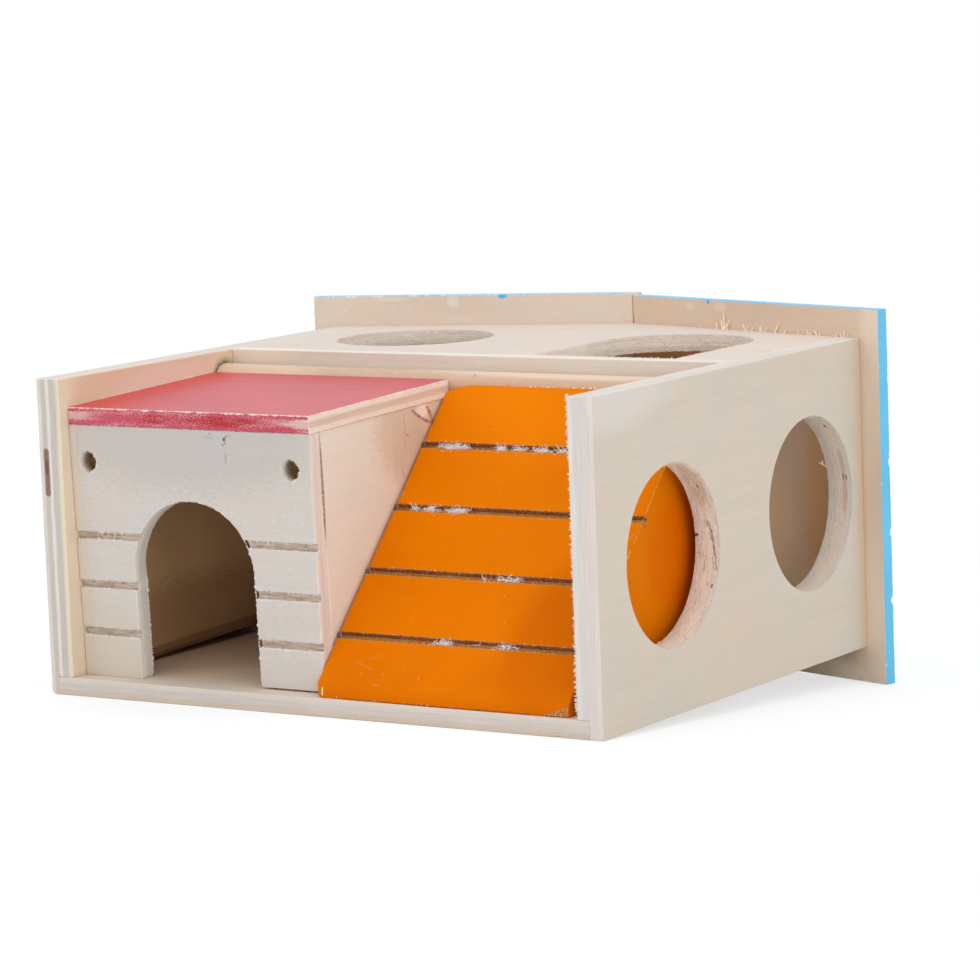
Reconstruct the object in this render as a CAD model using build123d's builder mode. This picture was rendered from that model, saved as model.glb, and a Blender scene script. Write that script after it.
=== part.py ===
"""Wooden hamster house: an open-fronted plywood box with a small red-roofed room,
an orange climbing ramp, a top deck with two entrances and a blue two-panel back.

Everything is glued. The box is drawn square in its own axes (X to the right, Y towards
the back, Z up, from the left wall's outer face, the front plane and the floor panel's
underside) and then stood the way it stands on a table: the back panels reach below
the floor panel, so the box rests on its front bottom edge and on the panels' outer
bottom corners, and leans forward a little.
"""

import os
from math import atan2, cos, degrees, radians, sin, tan

from build123d import *

os.makedirs("parts", exist_ok=True)

# ---------------------------------------------------------------- driving dimensions
BOX_WIDTH = 150.0  # over the two side walls
BOX_HEIGHT = 74.0  # side walls, and the deck's top
WALL_DEPTH = 122.4  # along a side wall's outer face, front edge to back panel
WALL = 6.4  # side wall plywood
SHEET = 4.2  # floor, deck, room and roof plywood
PANEL = 3.0  # back panel plywood

LEFT_RABBET = 4.0  # how far the floor panel runs under each side wall
RIGHT_RABBET = 3.0

WALL_HOLE_RADIUS = 20.4
WALL_HOLES = ((32.4, 35.4), (96.4, 38.0))  # centres, back from the front and up

PARTITION_FRONT = 68.0  # upright board under the deck's front edge
PARTITION = 4.0
STEP_FRONT = 60.3  # rounded step rail at the head of the ramp
STEP_TOP = 71.2
STEP_BOTTOM = 65.6
STEP_ROUND = 3.7
STEP_GAP = 0.3  # left end, short of the wall

DECK_HOLE_RADIUS = 19.4
DECK_HOLE = (38.0, 101.4)
DECK_SLOT = (109.3, 104.6)  # centre of the slot's round end, open to the partition

PANEL_ANGLE = 16.3  # each back panel, swept back from the box's width
PANEL_SIDE = 6.1  # overhang past the side walls, along the panel
PANEL_ABOVE = 7.0  # right panel over the deck; the left one stands a little higher
LEFT_PANEL_ABOVE = 7.6
PANEL_BELOW = 8.6

ROOM_LEFT = WALL + 0.05  # against the left wall
ROOM_RIGHT = 74.2
ROOM_FOOT = 5.0  # facade's front foot, behind the box's front plane
ROOM_PITCH = 1.9  # the room leans forward inside the box
ROOM_HEIGHT = 58.9  # floor to the roof's underside, along the facade
ROOM_DEPTH = 62.9  # facade to the partition
FOOT_GAP = 0.4  # the facade's right foot is cut short
DOOR_MIDDLE = 39.9
DOOR_RADIUS = 17.0
DOOR_SPRING = 25.4  # height of the arch's centre above the feet
PEEPHOLE_RADIUS = 2.5
PEEPHOLES = ((11.5, 50.4), (68.7, 50.6))
KERF = 1.9  # height of the facade's saw cuts
KERF_DEPTH = 1.1
KERF_HEIGHTS = (10.5, 21.7, 33.2)
ROOF_LIP = 0.1  # ahead of the facade
ROOF_DEPTH = 57.1
ROOF_RIGHT = 74.5

RAMP_LEFT = 74.6
RAMP_RIGHT = 140.6
RAMP_TOE = 1.2
RAMP_NOSE = 2.6
RAMP_TOP = 68.0
RAMP_KERF = 1.7
RAMP_KERF_DEPTH = 1.5
RAMP_KERFS = (0.164, 0.373, 0.583, 0.793)  # along the slope, toe to head

# ------------------------------------------------------------------ derived positions
RIGHT_INNER = BOX_WIDTH - WALL
MIDDLE = BOX_WIDTH / 2
SWEEP = tan(radians(PANEL_ANGLE))
RIDGE = WALL_DEPTH + MIDDLE * SWEEP  # inner face of the back panels at the middle

# The box leans on the front bottom edge and on the inner bottom corners of the panels.
HEEL = WALL_DEPTH - PANEL_SIDE * sin(radians(PANEL_ANGLE))
LEAN = degrees(atan2(PANEL_BELOW, HEEL))
lean_cos, lean_sin = cos(radians(LEAN)), sin(radians(LEAN))
lap = PANEL * tan(radians(2 * PANEL_ANGLE))  # left panel past the ridge
panel_back = RIDGE + PANEL * cos(radians(PANEL_ANGLE)) + lap * sin(radians(PANEL_ANGLE))
front_reach = -BOX_HEIGHT * lean_sin
back_reach = panel_back * lean_cos + PANEL_BELOW * lean_sin
STAND = Location((-MIDDLE, -(front_reach + back_reach) / 2, 0), (LEAN, 0, 0))
ROOM = STAND * Location((0, ROOM_FOOT, SHEET), (ROOM_PITCH, 0, 0))


def behind(x):
    """Depth of the back panels' inner faces at x."""
    return WALL_DEPTH + min(x, BOX_WIDTH - x) * SWEEP


def plan(height, frame=STAND):
    """Level plane at a height."""
    return Plane(frame * Plane.XY.offset(height).location)


def side(x, frame=STAND):
    """Upright plane across X: sketch X runs back, sketch Y runs up."""
    return Plane(frame * Plane.YZ.offset(x).location)


def front(depth, frame=STAND):
    """Upright plane facing the front: sketch X runs right, sketch Y runs up."""
    return Plane(frame * Plane.XZ.offset(-depth).location)


# --------------------------------------------------------------------- floor panel
floor_left = WALL - LEFT_RABBET
floor_right = RIGHT_INNER + RIGHT_RABBET

with BuildPart() as floor_panel:
    with BuildSketch(plan(0)):
        with BuildLine():
            Polyline(
                (floor_left, 0),
                (floor_right, 0),
                (floor_right, behind(floor_right)),
                (MIDDLE, RIDGE),
                (floor_left, behind(floor_left)),
                close=True,
            )
        make_face()
    extrude(amount=SHEET)

# ---------------------------------------------------------------------- side walls
with BuildPart() as left_wall:
    with BuildSketch(plan(0)):
        with BuildLine():
            Polyline((0, 0), (WALL, 0), (WALL, behind(WALL)), (0, behind(0)), close=True)
        make_face()
    extrude(amount=BOX_HEIGHT)
    # rabbet for the floor panel
    with BuildSketch(front(0)):
        with Locations((WALL, 0)):
            Rectangle(LEFT_RABBET, SHEET, align=(Align.MAX, Align.MIN))
    extrude(amount=-RIDGE, mode=Mode.SUBTRACT)

with BuildPart() as right_wall:
    with BuildSketch(plan(0)):
        with BuildLine():
            Polyline(
                (BOX_WIDTH, 0),
                (RIGHT_INNER, 0),
                (RIGHT_INNER, behind(RIGHT_INNER)),
                (BOX_WIDTH, behind(BOX_WIDTH)),
                close=True,
            )
        make_face()
    extrude(amount=BOX_HEIGHT)
    # rabbet for the floor panel
    with BuildSketch(front(0)):
        with Locations((RIGHT_INNER, 0)):
            Rectangle(RIGHT_RABBET, SHEET, align=(Align.MIN, Align.MIN))
    extrude(amount=-RIDGE, mode=Mode.SUBTRACT)
    # the two side entrances
    with BuildSketch(side(RIGHT_INNER)):
        with Locations(*WALL_HOLES):
            Circle(WALL_HOLE_RADIUS)
    extrude(amount=WALL, mode=Mode.SUBTRACT)

# --------------------------------------------------- partition, step rail and deck
with BuildPart() as partition:
    with BuildSketch(front(PARTITION_FRONT)):
        with Locations((WALL, SHEET)):
            Rectangle(RIGHT_INNER - WALL, BOX_HEIGHT - SHEET, align=Align.MIN)
    extrude(amount=-PARTITION)

with BuildPart() as step_rail:
    with BuildSketch(side(WALL + STEP_GAP)) as rail_profile:
        with Locations((STEP_FRONT, STEP_BOTTOM)):
            Rectangle(
                PARTITION_FRONT - STEP_FRONT, STEP_TOP - STEP_BOTTOM, align=Align.MIN
            )
        fillet(rail_profile.vertices().group_by(Axis.Y)[-1], STEP_ROUND)
    extrude(amount=RIGHT_INNER - WALL - STEP_GAP)

deck_front = PARTITION_FRONT + PARTITION

with BuildPart() as deck:
    with BuildSketch(plan(BOX_HEIGHT - SHEET)):
        with BuildLine():
            Polyline(
                (WALL, deck_front),
                (RIGHT_INNER, deck_front),
                (RIGHT_INNER, behind(RIGHT_INNER)),
                (MIDDLE, RIDGE),
                (WALL, behind(WALL)),
                close=True,
            )
        make_face()
        # round entrance over the left half
        with Locations(DECK_HOLE):
            Circle(DECK_HOLE_RADIUS, mode=Mode.SUBTRACT)
        # slot entrance at the head of the ramp, closed in front by the partition
        with Locations(DECK_SLOT):
            Circle(DECK_HOLE_RADIUS, mode=Mode.SUBTRACT)
            Rectangle(
                2 * DECK_HOLE_RADIUS,
                DECK_SLOT[1] - deck_front,
                align=(Align.CENTER, Align.MAX),
                mode=Mode.SUBTRACT,
            )
    extrude(amount=SHEET)

# --------------------------------------------------------------------- back panels
# The left panel runs on over the right panel's end and closes the ridge.
half_length = MIDDLE / cos(radians(PANEL_ANGLE))
below_deck = PANEL_BELOW + BOX_HEIGHT


def panel_plan(sweep):
    """Level plane at the panels' bottom, from the ridge along a swept panel."""
    return Plane(STAND * Location((MIDDLE, RIDGE, -PANEL_BELOW), (0, 0, sweep)))


with BuildPart() as right_back_panel:
    with BuildSketch(panel_plan(-PANEL_ANGLE)):
        Rectangle(half_length + PANEL_SIDE, PANEL, align=Align.MIN)
    extrude(amount=below_deck + PANEL_ABOVE)

with BuildPart() as left_back_panel:
    with BuildSketch(panel_plan(PANEL_ANGLE)):
        with BuildLine():
            Polyline(
                (0, 0),
                (lap, PANEL),
                (-half_length - PANEL_SIDE, PANEL),
                (-half_length - PANEL_SIDE, 0),
                close=True,
            )
        make_face()
    extrude(amount=below_deck + LEFT_PANEL_ABOVE)

# ----------------------------------------------------------- small room, front left
with BuildPart() as facade:
    with BuildSketch(front(0, ROOM)):
        with BuildLine():
            Polyline(
                (ROOM_LEFT, 0),
                (DOOR_MIDDLE, 0),
                (DOOR_MIDDLE, FOOT_GAP),
                (ROOM_RIGHT, FOOT_GAP),
                (ROOM_RIGHT, ROOM_HEIGHT),
                (ROOM_LEFT, ROOM_HEIGHT),
                close=True,
            )
        make_face()
        with Locations((DOOR_MIDDLE, DOOR_SPRING)):
            Circle(DOOR_RADIUS, mode=Mode.SUBTRACT)
            Rectangle(
                2 * DOOR_RADIUS,
                DOOR_SPRING,
                align=(Align.CENTER, Align.MAX),
                mode=Mode.SUBTRACT,
            )
        with Locations(*PEEPHOLES):
            Circle(PEEPHOLE_RADIUS, mode=Mode.SUBTRACT)
    extrude(amount=-SHEET)
    # saw cuts that mark the boards of a little log front
    with BuildSketch(front(0, ROOM)):
        with Locations(*((DOOR_MIDDLE, height) for height in KERF_HEIGHTS)):
            Rectangle(ROOM_RIGHT - ROOM_LEFT + SHEET, KERF)
    extrude(amount=-KERF_DEPTH, mode=Mode.SUBTRACT)

with BuildPart() as room_left_side:
    with BuildSketch(side(ROOM_LEFT, ROOM)):
        with Locations((SHEET, 0)):
            Rectangle(ROOM_DEPTH - SHEET, ROOM_HEIGHT, align=Align.MIN)
    extrude(amount=SHEET)

with BuildPart() as room_right_side:
    with BuildSketch(side(ROOM_RIGHT - SHEET, ROOM)):
        with Locations((SHEET, 0)):
            Rectangle(ROOM_DEPTH - SHEET, ROOM_HEIGHT, align=Align.MIN)
    extrude(amount=SHEET)

with BuildPart() as red_roof:
    with BuildSketch(plan(ROOM_HEIGHT, ROOM)):
        with Locations((ROOM_LEFT, -ROOF_LIP)):
            Rectangle(ROOF_RIGHT - ROOM_LEFT, ROOF_DEPTH + ROOF_LIP, align=Align.MIN)
    extrude(amount=SHEET)

# ------------------------------------------------------------------- climbing ramp
ramp_rise = RAMP_TOP - SHEET - RAMP_NOSE
ramp_run = STEP_FRONT - RAMP_TOE
ramp_tilt = degrees(atan2(ramp_rise, ramp_run))

with BuildPart() as ramp:
    with BuildSketch(side(RAMP_LEFT)):
        with BuildLine():
            Polyline(
                (RAMP_TOE, SHEET),
                (RAMP_TOE, SHEET + RAMP_NOSE),
                (STEP_FRONT, RAMP_TOP),
                (STEP_FRONT, SHEET),
                close=True,
            )
        make_face()
    extrude(amount=RAMP_RIGHT - RAMP_LEFT)
    # foothold cuts across the slope
    with BuildSketch(side(RAMP_LEFT)):
        for along in RAMP_KERFS:
            foothold = (
                RAMP_TOE + along * ramp_run,
                SHEET + RAMP_NOSE + along * ramp_rise,
            )
            with Locations(Location(foothold, ramp_tilt)):
                Rectangle(RAMP_KERF, 2 * RAMP_KERF_DEPTH)
    extrude(amount=RAMP_RIGHT - RAMP_LEFT, mode=Mode.SUBTRACT)

# ------------------------------------------------------------------------- export
floor_panel.part.label = "floor_panel"
left_wall.part.label = "left_wall"
right_wall.part.label = "right_wall"
partition.part.label = "partition"
step_rail.part.label = "step_rail"
deck.part.label = "deck"
left_back_panel.part.label = "left_back_panel"
right_back_panel.part.label = "right_back_panel"
facade.part.label = "facade"
room_left_side.part.label = "room_left_side"
room_right_side.part.label = "room_right_side"
red_roof.part.label = "red_roof"
ramp.part.label = "ramp"

export_step(floor_panel.part, "parts/floor_panel.step")
export_step(left_wall.part, "parts/left_wall.step")
export_step(right_wall.part, "parts/right_wall.step")
export_step(partition.part, "parts/partition.step")
export_step(step_rail.part, "parts/step_rail.step")
export_step(deck.part, "parts/deck.step")
export_step(left_back_panel.part, "parts/left_back_panel.step")
export_step(right_back_panel.part, "parts/right_back_panel.step")
export_step(facade.part, "parts/facade.step")
export_step(room_left_side.part, "parts/room_left_side.step")
export_step(room_right_side.part, "parts/room_right_side.step")
export_step(red_roof.part, "parts/red_roof.step")
export_step(ramp.part, "parts/ramp.step")
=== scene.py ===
# %% [markdown]
# # A wooden hamster house in Blender
#
# The object is a small glued plywood house: two thick side walls, a floor, a deck with two
# entrances, a little room under a red roof, an orange ramp, and two blue back panels. Its
# boards come from CAD as a fixed frame, in metres. This lesson gives every board real
# edges, grain, paint and wear, and adds the fibres that a saw leaves behind.

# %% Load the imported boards
import math
import random
from types import SimpleNamespace

import bmesh
import bpy
from mathutils import Matrix, Vector, noise
from mathutils.kdtree import KDTree


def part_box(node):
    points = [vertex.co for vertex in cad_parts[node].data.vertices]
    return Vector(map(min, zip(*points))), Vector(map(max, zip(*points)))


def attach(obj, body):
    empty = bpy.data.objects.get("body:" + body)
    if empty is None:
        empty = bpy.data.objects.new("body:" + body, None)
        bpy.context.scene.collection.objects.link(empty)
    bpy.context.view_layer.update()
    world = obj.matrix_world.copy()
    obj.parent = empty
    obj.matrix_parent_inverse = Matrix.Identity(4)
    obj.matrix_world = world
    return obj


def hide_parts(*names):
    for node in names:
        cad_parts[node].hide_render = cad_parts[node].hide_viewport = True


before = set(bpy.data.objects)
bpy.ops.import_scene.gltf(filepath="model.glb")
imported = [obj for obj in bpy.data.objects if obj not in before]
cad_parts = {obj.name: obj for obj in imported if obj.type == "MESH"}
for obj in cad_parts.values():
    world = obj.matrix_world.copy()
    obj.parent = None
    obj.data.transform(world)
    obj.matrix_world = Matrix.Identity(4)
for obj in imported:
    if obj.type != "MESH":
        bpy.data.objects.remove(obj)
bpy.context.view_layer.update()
print("boards:", ", ".join(sorted(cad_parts)))

# %% [markdown]
# ## The maker's own axes
#
# A joiner measures a box from its front left bottom corner: so far to the right, so far
# back, so far up, in millimetres. The house stands tilted, because its back panels reach
# below the floor. One matrix turns the maker's millimetres into metres in the scene, so
# every mark below can be given as it would be measured with a ruler on the real thing.
# The room, the ramp and the panels get matrices of their own, hung on the first one.

# %% House, room, ramp and panel axes
MM = 0.001
WALL, SHEET = 6.4, 4.2  # thickness of a side wall, and of floor, deck and room sheets
HALF, DEPTH, BELOW = 75, 122.4, 8.6  # half the width, a wall's depth, the panels' reach below the floor
SWEEP = math.radians(16.3)  # each back panel is swept back by this much
OVERHANG = 6.1  # how far a panel runs past its side wall
LEAN = math.atan2(BELOW, DEPTH - OVERHANG * math.sin(SWEEP))
RIDGE = DEPTH + HALF * math.tan(SWEEP)  # depth of the back panels at the middle
STANDS_AT = Vector((-HALF * MM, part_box("floor_panel")[0].y + SHEET * MM * math.sin(LEAN), 0))
RAMP_LEFT, TOE, HEAD = 74.6, (1.2, 6.8), (60.3, 68)  # the ramp's left side, and (back, up) of its ends
RAMP_TILT = math.atan2(HEAD[1] - TOE[1], HEAD[0] - TOE[0])

HOUSE = Matrix.Translation(STANDS_AT) @ Matrix.Rotation(LEAN, 4, "X") @ Matrix.Scale(MM, 4)
ROOM = HOUSE @ Matrix.Translation((0, 5, SHEET)) @ Matrix.Rotation(math.radians(1.9), 4, "X")
RAMP = HOUSE @ Matrix.Translation((RAMP_LEFT, *TOE)) @ Matrix.Rotation(RAMP_TILT, 4, "X")
RIDGE_FOOT = HOUSE @ Matrix.Translation((HALF, RIDGE, -BELOW))
RIGHT_PANEL = RIDGE_FOOT @ Matrix.Rotation(-SWEEP, 4, "Z")
LEFT_PANEL = RIDGE_FOOT @ Matrix.Rotation(SWEEP, 4, "Z")
RIGHT, BACK, UP, DOWN = (1, 0, 0), (0, 1, 0), (0, 0, 1), (0, 0, -1)


def board_axes(where, corner, along, across, through):
    """Axes of one board in mm: X along the grain, Y across it, Z through the sheet."""
    turned = Matrix((along, across, through)).transposed().to_4x4()
    return where @ Matrix.Translation(corner) @ turned


print(f"the house leans {math.degrees(LEAN):.2f} degrees")
print(f"the ramp climbs {math.degrees(RAMP_TILT):.1f} degrees")

# %% [markdown]
# ## Two helpers for materials
#
# Colours are picked as sRGB hex values, as a paint chart gives them, and Blender's shaders
# want linear light, so one function converts them. The other one adds a node, whatever its
# kind: it sets the node's properties, links any input that is given a node or a socket,
# and sets the others. A Mix node hides its two colours behind the numbers 6 and 7, so
# these get names.

# %% Colour and node helpers
A, B = 6, 7  # the two colours of a colour Mix; its share is input 0


def linear(hex_colour):
    """sRGB hex to linear RGBA."""
    parts = [int(hex_colour[i : i + 2], 16) / 255 for i in (1, 3, 5)]
    return [c / 12.92 if c <= 0.04045 else ((c + 0.055) / 1.055) ** 2.4 for c in parts] + [1]


def add(tree, kind, inputs=(), **settings):
    """Adds a node and returns it. Inputs are a row of values, from the first input on, or a dict by number
    or name. A value is a number, a hex colour, a socket, or a node, meaning its first output in use."""
    made = tree.nodes.new("ShaderNode" + kind)
    for name, value in settings.items():
        setattr(made, name, value)
    for key, value in inputs.items() if isinstance(inputs, dict) else enumerate(inputs):
        if isinstance(value, bpy.types.Node):
            value = next(output for output in value.outputs if output.enabled)
        if isinstance(value, bpy.types.NodeSocket):
            tree.links.new(value, made.inputs[key])
        else:
            made.inputs[key].default_value = linear(value) if isinstance(value, str) else value
    return made


print("warm white as linear light:", [round(c, 3) for c in linear("#DED3C5")])

# %% [markdown]
# ## Sanded poplar plywood
#
# The sheets are poplar or basswood plywood: thin veneers, peeled from a log and glued with
# their grain crossed, then sanded. Two things make it read as plywood. The faces are pale,
# with long soft figure and very fine pores that all run one way. The edges show the
# veneers as bands, light where a veneer is cut along its grain and darker where it is cut
# across, with a glue line between them.
#
# An image could hold all this, but it would need unwrapping for each board. Here the
# pattern is worked out from the board's own millimetres, so it runs through the sheet as
# the real one does: a hole or a kerf shows the veneers it cuts. So a board's material
# first finds out which point of the board it is on, and which way the surface looks.

# %% A material that knows its board
def blank_material(name):
    """A new material with nothing in it, and its node tree."""
    material = bpy.data.materials.new(name)
    material.use_nodes = True
    material.node_tree.nodes.clear()
    return material, material.node_tree


def board_material(name, axes):
    """Starts a board's material. at is the point in the board's millimetres, facing the way the surface
    looks, and flat is 1 on the sheet's two faces and 0 on its edges."""
    material, tree = blank_material(name)
    place, turn, _ = axes.decompose()
    turn = turn.to_euler("XYZ")
    held = add(tree, "TexCoord")
    at = add(tree, "Mapping", {0: held.outputs["Object"], "Location": place, "Rotation": turn,
                               "Scale": (MM, MM, MM)}, vector_type="TEXTURE")
    facing = add(tree, "Mapping", {0: held.outputs["Normal"], "Rotation": turn}, vector_type="TEXTURE")
    facing = add(tree, "SeparateXYZ", (facing,))
    flat = add(tree, "Math", (facing.outputs[2],), operation="ABSOLUTE")
    flat = add(tree, "MapRange", (flat, 0.55, 0.85))
    return SimpleNamespace(material=material, tree=tree, at=at, facing=facing, flat=flat)


# %% [markdown]
# ## Two measures in millimetres
#
# Nearly every pattern on a board is one of two things: noise with a grain of a certain
# size, or something that happens near a certain place. Both are measured in the board's
# millimetres, longer along the grain than across it.

# %% Noise of a size, and distance from a place
def noise_of(tree, at, size, **more):
    """Noise whose grain has a size in mm: one number, or three along, across and through the sheet."""
    scale = 1.0
    if isinstance(size, tuple):
        at = add(tree, "VectorMath", (at, [1 / s for s in size]), operation="MULTIPLY")
    else:
        scale = 1 / size
    return add(tree, "TexNoise", {"Vector": at, "Scale": scale, **more})


def away_from(tree, at, centre, size):
    """Distance from a centre, as a share of a size in mm. An infinite size leaves that way out."""
    away = add(tree, "VectorMath", (at, centre), operation="SUBTRACT")
    away = add(tree, "VectorMath", (away, [1 / s for s in size]), operation="MULTIPLY")
    return add(tree, "VectorMath", (away,), operation="LENGTH")


# %% [markdown]
# ## Marks on a board
#
# Knots, stains, filler dabs and cracks make one board different from the next, and the same
# marks carry painted light and shade: shaded corners and gaps, lit patches and highlights.
# Each is one line in a list: where it is, how large, what tint it mixes in, and how
# strongly. A crack or a drip is a stroke between two points. A clean ellipse would look
# like a sticker, so the wood's pores eat into its rim.

# %% Marks
def marked(board, colour, marks):
    """Mixes marks into a colour: (centre, size in mm, tint, strength), or (start, end) for a stroke."""
    tree, at = board.tree, board.at
    for centre, size, tint, strength in marks:
        if isinstance(centre[0], tuple):
            start, way = Vector(centre[0]), Vector(centre[1]) - Vector(centre[0])
            share = add(tree, "VectorMath", (at, start), operation="SUBTRACT")
            share = add(tree, "VectorMath", (share, way / way.length_squared), operation="DOT_PRODUCT")
            share = add(tree, "Math", (share, 0.0), operation="ADD", use_clamp=True)
            centre = add(tree, "VectorMath", (share, way, start), operation="MULTIPLY_ADD")
        away = away_from(tree, at, centre, size)
        ragged = add(tree, "Math", (board.pore, 0.7, away), operation="MULTIPLY_ADD")
        share = add(tree, "MapRange", (ragged, 1.35, 0.95, 0.0, strength))
        colour = add(tree, "Mix", {0: share, A: colour, B: tint}, data_type="RGBA")
    return colour


# %% [markdown]
# ## The face of a veneer
#
# A peeled veneer has broad clouds where the knife ran through a year ring at a flat angle,
# fine streaks along the grain, and pores. Real pores are 0.05 mm wide, too fine to show,
# so they are drawn about four times coarser. A little warm and cool mottle keeps a large
# face from looking printed. White flecks stand for the glints of raised fibres: painted
# highlights.

# %% Veneer face
def veneer_face(board, pale, warm, figure, grain):
    """Colour and height of the sanded face. figure scales the broad bands and grain the pores."""
    tree, at = board.tree, board.at
    broad = noise_of(tree, at, (110, 16, 30), Detail=3.0, Distortion=0.6)
    board.streak = noise_of(tree, at, (26, 1.1, 3), Detail=4.0)
    board.pore = noise_of(tree, at, (1.6, 0.2, 0.4), Detail=2.0, Roughness=0.6)
    tone = add(tree, "Math", (broad, 0.6 * figure, 0.2), operation="MULTIPLY_ADD")
    tone = add(tree, "Math", (board.streak, 0.5 * figure, tone), operation="MULTIPLY_ADD")
    tone = add(tree, "MapRange", (tone, 0.4, 1.0))
    face = add(tree, "Mix", {0: tone, A: pale, B: warm}, data_type="RGBA")
    fleck = add(tree, "MapRange", (board.pore, 0.34, 0.5, 1 - 0.045 * grain, 1 + 0.01 * grain))
    face = add(tree, "VectorMath", (face, fleck), operation="MULTIPLY")
    mottle = noise_of(tree, at, 13, Detail=3.0)
    mottle = add(tree, "MapRange", (mottle, 0.35, 0.65))
    mottle = add(tree, "Mix", {0: mottle, A: (1.03, 0.985, 0.975, 1), B: (0.97, 1.0, 1.01, 1)},
                 data_type="RGBA")
    face = add(tree, "VectorMath", (face, mottle), operation="MULTIPLY")
    # White flecks: painted glints on raised fibres.
    glinting_fibre = add(tree, "MapRange", (board.pore, 0.64, 0.72, 0.0, min(0.45 * grain, 1.0)))
    board.colour = add(tree, "Mix", {0: glinting_fibre, A: face, B: "#F4F0EC"}, data_type="RGBA")
    board.height = add(tree, "Math", (board.pore, 0.7, board.streak), operation="MULTIPLY_ADD")


# %% [markdown]
# ## The sawn edge of a sheet
#
# Each ply is given by its thickness and two tones, since end grain drinks light and is
# darker than the same veneer cut along its fibres. Which tone shows depends on the way the
# edge looks. The bands wander by a few tenths of a millimetre, as pressed veneers do.

# %% Plies on the edge
def ply_bands(tree, depth, bands):
    """Tones through the sheet, one for each (mm, tone), with a soft glue line between two."""
    ramp = add(tree, "ValToRGB", (depth,))
    stops = ramp.color_ramp.elements
    stops.remove(stops[0])
    total = sum(thick for thick, tone in bands)
    top = 0.0
    for number, (thick, tone) in enumerate(bands):
        low, top = top, top + thick
        soft = 0.2 * thick
        for edge in (low + soft * (number > 0), top - soft):
            stops.new(min(edge / total, 0.999)).color = linear(tone)
    stops.remove(stops[-1])
    return ramp


def sawn_edge(board, plies):
    """Colour and height of the edges: plies are (mm, tone of end grain, tone along the grain)."""
    tree, at = board.tree, board.at
    depth = add(tree, "SeparateXYZ", (at,))
    wander = noise_of(tree, at, 9, Detail=2.0)
    depth = add(tree, "Math", (wander, 0.5, depth.outputs[2]), operation="MULTIPLY_ADD")
    depth = add(tree, "MapRange", (depth, 0.25, sum(ply[0] for ply in plies) + 0.25))
    end_grain = ply_bands(tree, depth, [(thick, tone) for thick, tone, _ in plies])
    long_grain = ply_bands(tree, depth, [(thick, tone) for thick, _, tone in plies])
    endways = add(tree, "Math", (board.facing.outputs[0],), operation="ABSOLUTE")
    endways = add(tree, "MapRange", (endways, 0.35, 0.9))
    edge = add(tree, "Mix", {0: endways, A: long_grain, B: end_grain}, data_type="RGBA")
    lamella = noise_of(tree, at, (14, 14, 0.16), Detail=3.0)
    grit = noise_of(tree, at, 0.35, Detail=2.0)
    nap = add(tree, "Math", (lamella, 0.5, 0.645), operation="MULTIPLY_ADD")
    nap = add(tree, "Math", (grit, 0.2, nap), operation="MULTIPLY_ADD")
    edge = add(tree, "VectorMath", (edge, nap), operation="MULTIPLY")
    board.colour = add(tree, "Mix", {0: board.flat, A: edge, B: board.colour}, data_type="RGBA")
    rough = add(tree, "Math", (grit, 1.5, lamella), operation="MULTIPLY_ADD")
    rough = add(tree, "Math", (rough, 2.2), operation="MULTIPLY")
    board.height = add(tree, "Mix", {0: board.flat, 2: rough, 3: board.height}, data_type="FLOAT")


# %% [markdown]
# ## A bare board
#
# Face, edge and marks together are the wood. Where the edge is worn, and the mesh says
# how much in an attribute, it shows a little lighter than the face: partly fresh wood, and
# partly a painted highlight where the rounded edge catches the light. Sanded wood has no
# finish, so it scatters light almost evenly: a high roughness that follows the streaks,
# wood's refraction of about 1.5, and a relief of a few hundredths of a millimetre.

# %% Wood, and bare wood's finish
def wood(name, axes, plies, pale, warm, marks=(), figure=1.0, grain=1.0, arris=1.09):
    """Starts a wood material, with no plies for solid wood. arris lightens its worn edges, as fresh wood and
    as a painted highlight.
    """
    board = board_material(name, axes)
    veneer_face(board, pale, warm, figure, grain)
    if plies:
        sawn_edge(board, plies)
    colour = marked(board, board.colour, marks)
    board.worn = add(board.tree, "Attribute", attribute_name="worn").outputs["Fac"]
    fresh_wood_and_highlight = add(board.tree, "MapRange", (board.worn, 0.3, 0.6, 1.0, arris))
    board.colour = add(board.tree, "VectorMath", (colour, fresh_wood_and_highlight), operation="MULTIPLY")
    return board


def bare(board, rough=0.78, relief=0.03):
    """Closes a bare wood material."""
    tree = board.tree
    bump = add(tree, "Bump", {"Height": board.height, "Distance": relief * MM, "Strength": 0.7})
    sheen = add(tree, "Math", (board.streak, 0.16, rough - 0.08), operation="MULTIPLY_ADD")
    skin = add(tree, "BsdfPrincipled", {"Base Color": board.colour, "Roughness": sheen,
                                        "IOR": 1.5, "Normal": bump})
    add(tree, "OutputMaterial", {"Surface": skin})
    return board.material
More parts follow.
